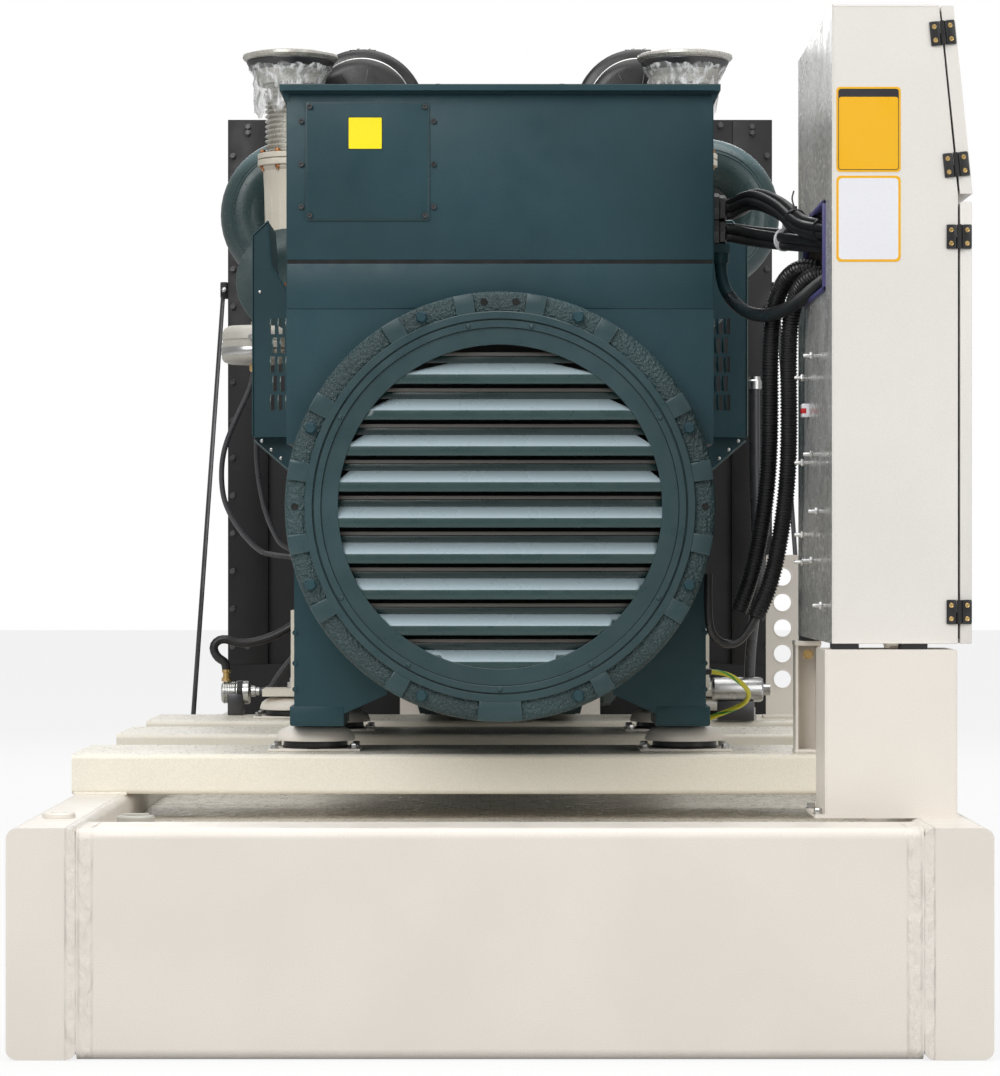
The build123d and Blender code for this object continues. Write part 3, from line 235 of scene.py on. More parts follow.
    def drops(self, scale: float, size: float) -> Socket:
        """Scatters round drops of different sizes.

        Args:
            scale: Drops to the metre.
            size: The widest drop's radius as a share of its cell.

        Returns:
            The drops' height, 0 between them.
        """
        cells = self.tree.nodes.new("ShaderNodeTexVoronoi")
        cells.inputs["Scale"].default_value = scale
        self.link(self.place, cells.inputs["Vector"])
        parts = self.tree.nodes.new("ShaderNodeSeparateColor")
        self.link(cells.outputs["Color"], parts.inputs[0])
        reach = self.math("MULTIPLY", self.math("POWER", parts.outputs[0], 3.0), size)
        return self.spread(self.math("SUBTRACT", reach, cells.outputs["Distance"]), 0.0, 0.12)


@dataclass(frozen=True)
class Finish:
    """A surface: two colours that drift into each other, a sheen, a grain, what lies on it, and painted
    light: a lighter tint on its upward faces and on its drops.
    """

    name: str
    colour: Triple
    drift: Triple
    roughness: float = 0.5
    metallic: float = 0.0
    coat: float = 0.0
    drift_scale: float = 2.5
    grain_scale: float = 900.0
    grain_depth: float = 0.05
    lump_scale: float = 60.0
    lump_depth: float = 0.0
    stretch: Triple = (1.0, 1.0, 1.0)
    # Share of upward faces blended toward the colour below: dust, and painted sky light on the green and
    # blade paints.
    dust_and_sky_light: float = 0.0
    dust_and_sky_light_colour: Triple = (0.36, 0.40, 0.40)
    drop_scale: float = 0.0
    drop_size: float = 0.7
    drop_highlight: float = 0.25
    drops_on_top: bool = False
    specular: float = 0.5
    weld: tuple[float, float] = (0.0, 0.0)

    def material(self) -> bpy.types.Material:
        """Makes the material once, and gives the same one afterwards.

        Returns:
            The finished material.
        """
        name = f"{self.name}_finish"
        made = bpy.data.materials.get(name)
        if made:
            return made
        draft = Draft(name)
        share = draft.spread(draft.noise(self.drift_scale, 5.0, self.stretch), 0.34, 0.66)
        colour = draft.blend(share, self.colour, self.drift)
        grain = draft.noise(self.grain_scale, 2.0, self.stretch)
        fine = draft.spread(grain, 0.3, 0.7, 0.0, 0.35)
        colour = draft.blend(fine, colour, tuple(0.72 * part for part in self.colour))
        normal = draft.bump(grain, self.grain_depth)
        if self.lump_depth:
            normal = draft.bump(draft.noise(self.lump_scale, 4.0, self.stretch), self.lump_depth, normal)
        rough = draft.spread(draft.noise(7 * self.drift_scale, 4.0), 0.25, 0.75,
                             max(0.04, self.roughness - 0.08), min(1.0, self.roughness + 0.1))
        # Upward faces take a lighter tint: dust, and painted sky light.
        if self.dust_and_sky_light:
            dust_and_sky_light_share = draft.math("MULTIPLY", draft.upwards(0.3, 0.75), self.dust_and_sky_light)
            colour = draft.blend(dust_and_sky_light_share, colour, self.dust_and_sky_light_colour)
        if self.drop_scale:
            drops = draft.drops(self.drop_scale, self.drop_size)
            if self.drops_on_top:
                drops = draft.math("MULTIPLY", drops, draft.upwards(0.6, 0.9))
            # Each drop is lightened toward white: a painted highlight.
            colour = draft.blend(draft.math("MULTIPLY", drops, self.drop_highlight), colour, (0.95, 0.97, 1.0))
            normal = draft.bump(drops, 2.0, normal)
            rough = draft.math("SUBTRACT", rough, draft.math("MULTIPLY", drops, 0.3))
        if self.weld[1]:
            band, lumps = draft.band(*self.weld), draft.noise(42.0, 5.0, (1.0, 1.0, 0.55))
            normal = draft.bump(draft.math("MULTIPLY", draft.spread(lumps, 0.3, 0.7, 0.35, 1.0), band), 5.0,
                                normal)
            colour = draft.blend(draft.math("MULTIPLY", draft.spread(lumps, 0.5, 0.72),
                                            draft.math("MULTIPLY", band, 0.3)), colour,
                                 tuple(0.8 * part for part in self.drift))
        draft.link(colour, draft.shader.inputs["Base Color"])
        draft.link(rough, draft.shader.inputs["Roughness"])
        draft.link(normal, draft.shader.inputs["Normal"])
        draft.shader.inputs["Metallic"].default_value = self.metallic
        draft.shader.inputs["Specular IOR Level"].default_value = self.specular
        draft.shader.inputs["Coat Weight"].default_value = self.coat
        draft.shader.inputs["Coat Roughness"].default_value = 0.2
        return draft.material


@dataclass(frozen=True)
class FilmFinish:
    """Thin clear film wound round a piece: crinkled, glossy and half see-through."""

    name: str
    clear: float = 0.14
    cover: float = 0.80

    def material(self) -> bpy.types.Material:
        """Makes the material once, and gives the same one afterwards.

        Returns:
            The finished material.
        """
        name = f"{self.name}_finish"
        made = bpy.data.materials.get(name)
        if made:
            return made
        draft = Draft(name)
        folds = draft.noise(60.0, 7.0, (1.0, 1.0, 0.45))
        fine = draft.noise(260.0, 3.0)
        share = draft.spread(folds, 0.38, 0.62)
        colour = draft.blend(share, (0.72, 0.73, 0.72), (0.93, 0.94, 0.94))
        normal = draft.bump(fine, 1.0, draft.bump(folds, 9.0))
        draft.link(colour, draft.shader.inputs["Base Color"])
        draft.link(normal, draft.shader.inputs["Normal"])
        draft.link(draft.spread(folds, 0.45, 0.68, self.clear, self.cover), draft.shader.inputs["Alpha"])
        draft.shader.inputs["Roughness"].default_value = 0.13
        draft.shader.inputs["Coat Weight"].default_value = 0.6
        return draft.material


# The green paints lighten their upward faces toward a bluish tint: painted sky light with some dust.
GREEN = Finish("green_paint", (0.0150, 0.0480, 0.0590), (0.0206, 0.064, 0.079), 0.42, grain_scale=420,
               grain_depth=0.12, specular=0.3, dust_and_sky_light=0.3, dust_and_sky_light_colour=(0.15, 0.21, 0.27))
CAST = Finish("green_cast", (0.009, 0.028, 0.031), (0.024, 0.062, 0.068), 0.24, grain_scale=300,
              grain_depth=0.8, lump_scale=130, lump_depth=7.0, dust_and_sky_light=0.35, dust_and_sky_light_colour=(0.12, 0.17, 0.18))
MACHINED = Finish("green_smooth", (0.017, 0.046, 0.052), (0.026, 0.062, 0.072), 0.33, grain_scale=300,
                  grain_depth=0.05, dust_and_sky_light=0.3, dust_and_sky_light_colour=(0.16, 0.21, 0.21))
BLOCK = Finish("engine_paint", (0.020, 0.044, 0.046), (0.030, 0.058, 0.060), 0.45, grain_scale=200,
               grain_depth=0.3, lump_scale=70, lump_depth=0.6)
PIPE = Finish("pipe_paint", (0.024, 0.050, 0.052), (0.034, 0.064, 0.066), 0.3, grain_scale=300,
              grain_depth=0.1, drop_scale=110, drop_size=0.42, drop_highlight=0.06, dust_and_sky_light=0.5,
              dust_and_sky_light_colour=(0.17, 0.26, 0.28))
# Blade paint whose upward faces turn almost fully pale blue-grey: painted sky light. It also gives painted
# highlights on edges.
SKYLIT_BLADE = Finish("skylit_blade_paint", (0.018, 0.048, 0.048), (0.026, 0.062, 0.062), 0.3, grain_scale=260,
               grain_depth=0.05, dust_and_sky_light=0.93, dust_and_sky_light_colour=(0.40, 0.50, 0.54))
SHADE = Finish("blade_shade", (0.004, 0.018, 0.018), (0.008, 0.026, 0.025), 0.3, grain_scale=300)
CREAM = Finish("cream_paint", (0.84, 0.79, 0.72), (0.80, 0.745, 0.675), 0.38, grain_scale=500,
               grain_depth=0.1, lump_scale=16, lump_depth=0.35, dust_and_sky_light=0.12, dust_and_sky_light_colour=(0.83, 0.80, 0.73))
WELDED = replace(CREAM, name="end_member_paint", weld=(0.826, 0.018))
RAIL = replace(CREAM, name="rail_paint", weld=(0.855, 0.014))
# The deck and beam paints are the cream paint made lighter to lift the shade they sit in: painted light.
LIT_DECK = Finish("lit_deck_paint", (0.90, 0.85, 0.76), (0.82, 0.77, 0.68), 0.3, grain_scale=300, grain_depth=0.2,
              drop_scale=85, drop_size=0.75, drop_highlight=0.3)
LIT_BEAM = Finish("lit_beam_paint", (0.86, 0.81, 0.69), (0.90, 0.85, 0.74), 0.36, grain_scale=400, grain_depth=0.12,
              lump_scale=20, lump_depth=0.3, drop_scale=120, drop_size=0.6, drop_highlight=0.4, drops_on_top=True)
CABINET = Finish("cabinet_paint", (0.80, 0.775, 0.73), (0.765, 0.735, 0.69), 0.4, grain_scale=620,
                 grain_depth=0.12)
CABINET_BACK = Finish("cabinet_back_paint", (0.47, 0.47, 0.46), (0.30, 0.295, 0.27), 0.25, drift_scale=2,
                      grain_scale=420, grain_depth=0.1, drop_scale=120, drop_size=0.62, drop_highlight=0.8)
BLACK = Finish("black_paint", (0.010, 0.010, 0.011), (0.018, 0.017, 0.018), 0.42, specular=0.32,
               grain_scale=420, grain_depth=0.1, lump_scale=9, lump_depth=0.5, dust_and_sky_light=0.15,
               dust_and_sky_light_colour=(0.12, 0.12, 0.12))
RUBBER = Finish("black_rubber", (0.010, 0.010, 0.011), (0.018, 0.018, 0.019), 0.38, grain_scale=700,
                grain_depth=0.05)
PLASTIC = Finish("black_plastic", (0.012, 0.012, 0.013), (0.02, 0.02, 0.021), 0.32, grain_scale=600,
                 grain_depth=0.05)
STEEL = Finish("zinc_steel", (0.62, 0.62, 0.60), (0.42, 0.42, 0.42), 0.28, 1.0)
DARK_STEEL = Finish("dark_steel", (0.10, 0.10, 0.105), (0.06, 0.06, 0.062), 0.35, 0.8, grain_scale=800)
BRASS = Finish("brass", (0.78, 0.56, 0.25), (0.55, 0.38, 0.15), 0.28, 1.0)
COPPER = Finish("heated_copper", (0.55, 0.26, 0.12), (0.22, 0.09, 0.04), 0.35, 1.0, drift_scale=20,
                grain_scale=500)
BELLOWS = Finish("bellows_steel", (0.66, 0.65, 0.60), (0.46, 0.44, 0.39), 0.3, 0.45, drift_scale=14,
                 grain_scale=500, lump_scale=90, lump_depth=0.3)
RISER = Finish("riser_paint", (0.68, 0.64, 0.54), (0.58, 0.54, 0.44), 0.38, drift_scale=8, grain_scale=400)
CAN = Finish("can_paint", (0.56, 0.54, 0.48), (0.44, 0.42, 0.37), 0.4, drift_scale=8, grain_scale=400)
BACKING = Finish("gap_strip", (0.105, 0.098, 0.086), (0.07, 0.066, 0.058), 0.4, grain_scale=400)
TRIM = Finish("edge_trim", (0.085, 0.080, 0.23), (0.055, 0.052, 0.16), 0.4, grain_scale=500)
YELLOW = Finish("amber_card", (0.92, 0.50, 0.006), (0.88, 0.46, 0.006), 0.35, grain_scale=700,
                grain_depth=0.01)
LEMON = Finish("lemon_card", (1.0, 0.85, 0.0), (0.97, 0.80, 0.0), 0.35, grain_scale=700, grain_depth=0.01)
WHITE = Finish("white_card", (0.84, 0.84, 0.87), (0.80, 0.80, 0.84), 0.35, grain_scale=700, grain_depth=0.01)
INK = Finish("dark_card", (0.016, 0.016, 0.02), (0.02, 0.02, 0.024), 0.4, grain_scale=700, grain_depth=0.01)
RED = Finish("red_card", (0.60, 0.015, 0.02), (0.55, 0.015, 0.02), 0.35, grain_scale=700, grain_depth=0.01)
# Near-black: painted shade in the tapped holes and the cavity behind the blades, and the dark joint of the
# panels' seam with painted shade in its gap.
VOID = Finish("dark_interior", (0.004, 0.004, 0.004), (0.008, 0.008, 0.008), 0.8, grain_scale=200)
CORE = Finish("radiator_fins", (0.018, 0.018, 0.02), (0.035, 0.035, 0.037), 0.5, grain_scale=240,
              grain_depth=0.6, stretch=(1.0, 1.0, 0.1))
FILM = FilmFinish("wrapping_film")
HOSE = Finish("grey_hose", (0.045, 0.045, 0.050), (0.075, 0.075, 0.080), 0.28, grain_scale=500,
              grain_depth=0.05)
EARTH_BASE = Finish("earth_sheath", (0.86, 0.78, 0.04), (0.78, 0.72, 0.05), 0.35, grain_scale=500,
                    grain_depth=0.03)
EARTH_STRIPE = Finish("earth_stripe", (0.07, 0.34, 0.05), (0.09, 0.42, 0.07), 0.35, grain_scale=500,
                      grain_depth=0.03)


class Piece:
    """A mesh drawn in millimetres in the part's frame, with a finish for each group of faces."""

    def __init__(self, name: str, body: str = "set") -> None:
        """Starts an empty piece.

        Args:
            name: The piece's name.
            body: The body that it moves with.
        """
        self.name = name
        self.body = body
        self.mesh = bmesh.new()
        self.finishes: list[Finish | FilmFinish] = []

    def take(self, drawn: bmesh.types.BMesh, finish: Finish | FilmFinish, closed: bool = True,
             smooth: bool = True) -> None:
        """Adds a shape with its finish.

        Args:
            drawn: The shape, which is used up.
            finish: Its finish.
            closed: Whether it is a closed shell, whose faces are turned outwards.
            smooth: Whether its faces are shaded smooth below the sharp angle.
        """
        if finish not in self.finishes:
            self.finishes.append(finish)
        if closed:
            bmesh.ops.recalc_face_normals(drawn, faces=drawn.faces)
        for face in drawn.faces:
            face.material_index = self.finishes.index(finish)
            face.smooth = smooth
        held = bpy.data.meshes.new("held")
        drawn.to_mesh(held)
        drawn.free()
        self.mesh.from_mesh(held)
        bpy.data.meshes.remove(held)

    def box(self, low: Triple, high: Triple, finish: Finish, bevel: float = 1.5,
            place: Matrix = Matrix.Identity(4)) -> None:
        """Adds a block with rounded edges.

        Args:
            low: Its lowest corner.
            high: Its highest corner.
            finish: Its finish.
            bevel: The edges' radius.
            place: Where its own frame stands.
        """
        drawn = bmesh.new()
        size = Vector(high) - Vector(low)
        middle = (Vector(high) + Vector(low)) / 2
        bmesh.ops.create_cube(drawn, size=1.0, matrix=Matrix.Translation(middle)
                              @ Matrix.Diagonal((*size, 1.0)))
        if bevel:
            bmesh.ops.bevel(drawn, geom=list(drawn.edges), offset=bevel, segments=2, profile=0.5,
                            affect="EDGES")
        bmesh.ops.transform(drawn, matrix=place, verts=drawn.verts)
        self.take(drawn, finish)

    def loft(self, rings: Sequence[Sequence[Vector]], finish: Finish | FilmFinish, closed: bool = False,
             caps: bool = True) -> None:
        """Adds a skin over rings of equal length.

        Args:
            rings: The rings, each a closed loop.
            finish: Its finish.
            closed: Whether the last ring joins the first.
            caps: Whether both ends are closed with a face.
        """
        drawn = bmesh.new()
        loops = [[drawn.verts.new(point) for point in ring] for ring in rings]
        pairs = list(zip(loops, loops[1:])) + ([(loops[-1], loops[0])] if closed else [])
        for low, high in pairs:
            for index in range(len(low)):
                after = (index + 1) % len(low)
                drawn.faces.new((low[index], low[after], high[after], high[index]))
        if caps and not closed:
            drawn.faces.new(list(reversed(loops[0])))
            drawn.faces.new(loops[-1])
        bmesh.ops.remove_doubles(drawn, verts=drawn.verts, dist=0.001)
        self.take(drawn, finish, caps or closed)

    def lathe(self, place: Matrix, profile: Outline, finish: Finish | FilmFinish,
              sides: int = 32, closed: bool = False) -> None:
        """Adds a turned shape.

        Args:
            place: Its frame, turned round its Z.
            profile: Radius and height of each ring from one end to the other.
            finish: Its finish.
            sides: Sides round the axis.
            closed: Whether the profile runs back to its start, as on a hoop.
        """
        turns = [2 * pi * index / sides for index in range(sides)]
        rings = [[place @ Vector((max(radius, 0.0005) * cos(turn), max(radius, 0.0005) * sin(turn), height))
                  for turn in turns] for radius, height in profile]
        self.loft(rings, finish, closed)

    def sheet(self, outline: Outline, place: Matrix, thickness: float, finish: Finish,
              holes: Sequence[Outline] = (), bevel: float = 0.0) -> None:
        """Adds a flat plate with any outline and holes.

        Args:
            outline: Its outline in the place's X and Y.
            place: Its frame; the plate rises along Z.
            thickness: Its thickness.
            finish: Its finish.
            holes: Outlines of the holes.
            bevel: Radius of the edges of a plate without holes.
        """
        drawn = bmesh.new()
        edges = []
        for loop in (outline, *holes):
            points = [drawn.verts.new((x, y, 0.0)) for x, y in loop]
            edges += [drawn.edges.new((points[index - 1], points[index])) for index in range(len(points))]
        bmesh.ops.triangle_fill(drawn, edges=edges, use_beauty=True)
        raised = bmesh.ops.extrude_face_region(drawn, geom=list(drawn.faces))["geom"]
        moved = [part for part in raised if isinstance(part, bmesh.types.BMVert)]
        bmesh.ops.translate(drawn, vec=(0, 0, thickness), verts=moved)
        bmesh.ops.dissolve_limit(drawn, angle_limit=0.01, verts=drawn.verts, edges=drawn.edges)
        if bevel:
            sharp = [edge for edge in drawn.edges if edge.calc_face_angle(0.0) > 0.6]
            bmesh.ops.bevel(drawn, geom=sharp, offset=bevel, segments=2, profile=0.5, affect="EDGES")
        bmesh.ops.transform(drawn, matrix=place, verts=drawn.verts)
        self.take(drawn, finish)

    def tube(self, points: Sequence[Triple], radius: float, finish: Finish, sides: int = 12,
             steps: int = 6) -> None:
        """Adds a round bar or hose along a smooth route through the points.

        Args:
            points: The route.
            radius: Its radius.
            finish: Its finish.
            sides: Sides round it.
            steps: Divisions of each run; 1 keeps the runs straight.
        """
        route = smooth_route(points, steps)
        frames = route_frames(route)
        rings = [[spot + radius * (cos(turn) * across + sin(turn) * up)
                  for turn in (2 * pi * index / sides for index in range(sides))]
                 for spot, across, up in frames]
        self.loft(rings, finish)

    def solid(self) -> bpy.types.Mesh:
        """Ends the drawing.

        Returns:
            Its mesh, in metres.
        """
        bmesh.ops.scale(self.mesh, vec=(MM, MM, MM), verts=self.mesh.verts)
        made = bpy.data.meshes.new(self.name)
        self.mesh.to_mesh(made)
        self.mesh.free()
        return made

    def build(self, slot: str = "", replaced: Sequence[str] = ()) -> bpy.types.Object:
        """Makes the piece an object in metres that rides on its body.

        Args:
            slot: Not used.
            replaced: The nodes that it stands for.

        Returns:
            The object.
        """
        made = self.solid()
        for finish in self.finishes:
            made.materials.append(finish.material())
        made.set_sharp_from_angle(angle=radians(38))
        return settle(self.name, made, self.body, replaced)


def put(name: str, data: bpy.types.ID) -> bpy.types.Object:
    """Puts data into the scene.

    Args:
        name: The object's name.
        data: Its mesh, curve, lamp or camera.

    Returns:
        The object.
    """
    made = bpy.data.objects.new(name, data)
    bpy.context.collection.objects.link(made)
    return made


def settle(name: str, mesh: bpy.types.Mesh, body: str,
           replaced: Sequence[str] = ()) -> bpy.types.Object:
    """Puts a finished mesh into the scene on its body.

    Args:
        name: The object's name.
        mesh: Its mesh.
        body: The body that it moves with.
        replaced: The nodes that it stands for.

    Returns:
        The object.
    """
    made = put(name, mesh)
    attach(made, body)
    if replaced:
        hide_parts(*replaced)
    LOG.info("%s: %d faces", name, len(mesh.polygons))
    return made


def smooth_route(points: Sequence[Triple], steps: int) -> list[Vector]:
    """Runs a smooth line through points.

    Args:
        points: The points.
        steps: Divisions of each run.

    Returns:
        The line's points.
    """
    given = [Vector(point) for point in points]
    if steps < 2:
        return given
    ends = [2 * given[0] - given[1], *given, 2 * given[-1] - given[-2]]
    route = []
    for before, start, end, after in zip(ends, ends[1:], ends[2:], ends[3:]):
        for step in range(steps):
            share = step / steps
            route.append(0.5 * (2 * start + (end - before) * share
                                + (2 * before - 5 * start + 4 * end - after) * share ** 2
                                + (3 * start - before - 3 * end + after) * share ** 3))
    return route + [given[-1]]


def route_frames(route: Sequence[Vector]) -> list[tuple[Vector, Vector, Vector]]:
    """Carries an untwisted frame along a route.

    Args:
        route: The route's points.

    Returns:
        Each point with the two directions across the route there.
    """
    ways = [(route[min(index + 1, len(route) - 1)] - route[max(index - 1, 0)]).normalized()
            for index in range(len(route))]
    across = ways[0].orthogonal().normalized()
    frames = []
    for spot, way in zip(route, ways):
        across = (across - across.dot(way) * way).normalized()
        frames.append((spot, across, way.cross(across)))
    return frames


def standing(x: float, y: float, z: float, facing: Facing = Facing.UP, spin: float = 0.0) -> Matrix:
    """Gives the frame of a piece that stands at a point and looks one way.

    Args:
        x: The point's X.
        y: The point's Y.
        z: The point's Z.
        facing: The way that its Z looks.
        spin: Its turn about its own Z, in degrees.

    Returns:
        The frame.
    """
    turn = Euler(facing.value).to_matrix().to_4x4()
    return shift(x, y, z) @ turn @ turned(spin)


def upright(x: float, y: float, z: float) -> Matrix:
    """Gives the frame of a piece that stands at a point and looks to the front."""
    return standing(x, y, z, Facing.FRONT)


def shift(x: float, y: float, z: float) -> Matrix:
    """Gives a move."""
    return Matrix.Translation((x, y, z))


def turned(angle: float, axis: str = "Z") -> Matrix:
    """Gives a turn about an axis, in degrees."""
    return Matrix.Rotation(radians(angle), 4, axis)


def along(spot: Vector | Triple, way: Vector) -> Matrix:
    """Gives the frame at a spot whose Z runs a given way."""
    return Matrix.Translation(spot) @ way.to_track_quat("Z", "Y").to_matrix().to_4x4()


class Nodes:
    """A tree of geometry nodes with named inputs."""

    def __init__(self, name: str, inputs: dict[str, str]) -> None:
        """Starts a tree.

        Args:
            name: The tree's name.
            inputs: Each input's name with its socket type.
        """
        self.tree = bpy.data.node_groups.new(name, "GeometryNodeTree")
        self.tree.interface.new_socket("Geometry", in_out="INPUT", socket_type="NodeSocketGeometry")
        self.keys = {}
        for label, kind in inputs.items():
            socket = self.tree.interface.new_socket(label, in_out="INPUT", socket_type=kind)
            self.keys[label] = socket.identifier
        self.tree.interface.new_socket("Geometry", in_out="OUTPUT", socket_type="NodeSocketGeometry")
        self.entry = self.tree.nodes.new("NodeGroupInput")
        self.exit = self.tree.nodes.new("NodeGroupOutput")

    def node(self, kind: str, **values: Socket | float | tuple | str) -> bpy.types.Node:
        """Adds a node and fills its inputs.

        Args:
            kind: The node's type.
            values: Its inputs by name, with _ for a space: a socket to link or a plain value.

        Returns:
            The node.
        """
        made = self.tree.nodes.new(kind)
        for label, value in values.items():
            if label.startswith("set_"):
                setattr(made, label[4:], value)
        for label, value in values.items():
            if label.startswith("set_"):
                continue
            socket = next(s for s in made.inputs if s.enabled and s.identifier == label.replace("_", " ") or
                          s.enabled and s.identifier == label)
            if isinstance(value, Socket):
                self.tree.links.new(value, socket)
            else:
                socket.default_value = value
        return made

    def math(self, kind: str, *values: Socket | float) -> Socket:
        """Combines one or two values."""
        return self.node("ShaderNodeMath", set_operation=kind,
                         **dict(zip(("Value", "Value_001"), values))).outputs[0]

    def close(self, geometry: Socket) -> None:
        """Ends the tree with real geometry in the given finish."""
        real = self.node("GeometryNodeRealizeInstances", Geometry=geometry)
        done = self.node("GeometryNodeSetMaterial", Geometry=real.outputs[0],
                         Material=self.entry.outputs["Finish"])
        self.tree.links.new(done.outputs[0], self.exit.inputs[0])

    def bake(self, name: str, host: bpy.types.ID, values: dict[str, object]) -> bpy.types.Mesh:
        """Runs the tree on a mesh or curve and keeps the result.

        Args:
            name: The result's name.
            host: The mesh or curve data that it starts from, which is used up.
            values: The inputs by name.

        Returns:
            The result as a plain mesh.
        """
        holder = put(name + "_host", host)
        modifier = holder.modifiers.new("Geometry", "NODES")
        modifier.node_group = self.tree
        for label, value in values.items():
            modifier[self.keys[label]] = value
        evaluated = holder.evaluated_get(bpy.context.evaluated_depsgraph_get())
        result = bpy.data.meshes.new_from_object(evaluated)
        result.name = name
        holder.modifiers.remove(modifier)
        bpy.data.objects.remove(holder)
        return result


def repeat_tree() -> Nodes:
    """Makes the tree that sets one item at every point of a mesh, turned as the point's attribute says.

    Returns:
        The tree.
    """
    tree = Nodes("Repeat", {"Item": "NodeSocketObject", "Size": "NodeSocketFloat", "Spin": "NodeSocketFloat",
                            "Finish": "NodeSocketMaterial"})
    entry = tree.entry.outputs
    turn = tree.node("GeometryNodeInputNamedAttribute", set_data_type="FLOAT_VECTOR", Name="turn")
    rotation = tree.node("FunctionNodeEulerToRotation", Euler=turn.outputs["Attribute"])
    item = tree.node("GeometryNodeObjectInfo", Object=entry["Item"])
    placed = tree.node("GeometryNodeInstanceOnPoints", Points=entry["Geometry"],
                       Instance=item.outputs["Geometry"], Rotation=rotation.outputs[0], Scale=entry["Size"])
    angle = tree.node("FunctionNodeRandomValue", Max_001=entry["Spin"], Seed=11)
    axis = tree.node("ShaderNodeCombineXYZ", Z=angle.outputs["Value"])
    own = tree.node("FunctionNodeEulerToRotation", Euler=axis.outputs[0])
    spun = tree.node("GeometryNodeRotateInstances", Instances=placed.outputs[0], Rotation=own.outputs[0])
    tree.close(spun.outputs[0])
    return tree


def sweep_tree() -> Nodes:
    """Makes the tree that runs a round section along a route, with ribs where their depth isn't nothing.

    Returns:
        The tree.
    """
    tree = Nodes("Sweep", {"Radius": "NodeSocketFloat", "Sides": "NodeSocketInt", "Step": "NodeSocketFloat",
                           "Rib": "NodeSocketFloat", "Finish": "NodeSocketMaterial"})
    entry = tree.entry.outputs
    even = tree.node("GeometryNodeResampleCurve", set_mode="LENGTH", Curve=entry["Geometry"],
                     Length=entry["Step"])
    index = tree.node("GeometryNodeInputIndex")
    raised = tree.math("LESS_THAN", tree.math("MODULO", index.outputs[0], 4.0), 1.5)
    scale = tree.math("SUBTRACT", 1.0, tree.math("MULTIPLY", raised, entry["Rib"]))
    ring = tree.node("GeometryNodeCurvePrimitiveCircle", Resolution=entry["Sides"], Radius=entry["Radius"])
    skin = tree.node("GeometryNodeCurveToMesh", Curve=even.outputs[0], Profile_Curve=ring.outputs[0],
                     Scale=scale, Fill_Caps=True)
    tree.close(skin.outputs[0])
    return tree


def blade_tree() -> Nodes:
    """Makes the tree that stacks one blade up a round opening and cuts each end to its circle.

    Returns:
        The tree.
    """
    tree = Nodes("Blades", {"Blade": "NodeSocketObject", "Count": "NodeSocketInt",
                            "Pitch": "NodeSocketVector", "Lowest": "NodeSocketVector",
                            "Middle": "NodeSocketFloat", "Radius": "NodeSocketFloat",
                            "Finish": "NodeSocketMaterial"})
    entry = tree.entry.outputs
    line = tree.node("GeometryNodeMeshLine", Count=entry["Count"], Start_Location=entry["Lowest"],
                     Offset=entry["Pitch"])
    item = tree.node("GeometryNodeObjectInfo", Object=entry["Blade"])
    placed = tree.node("GeometryNodeInstanceOnPoints", Points=line.outputs[0],
                       Instance=item.outputs["Geometry"])
    real = tree.node("GeometryNodeRealizeInstances", Geometry=placed.outputs[0])
    spot = tree.node("ShaderNodeSeparateXYZ", Vector=tree.node("GeometryNodeInputPosition").outputs[0])
    rise = tree.math("SUBTRACT", spot.outputs["Z"], entry["Middle"])
    squares = [tree.math("MULTIPLY", value, value) for value in (rise, entry["Radius"])]
    reach = tree.math("SQRT", tree.math("MAXIMUM", tree.math("SUBTRACT", squares[1], squares[0]), 0.000001))
    low = tree.math("MAXIMUM", spot.outputs["X"], tree.math("MULTIPLY", reach, -1.0))
    cut = tree.math("MINIMUM", low, reach)
    place = tree.node("ShaderNodeCombineXYZ", X=cut, Y=spot.outputs["Y"], Z=spot.outputs["Z"])
    moved = tree.node("GeometryNodeSetPosition", Geometry=real.outputs[0], Position=place.outputs[0])
    tree.close(moved.outputs[0])
    return tree


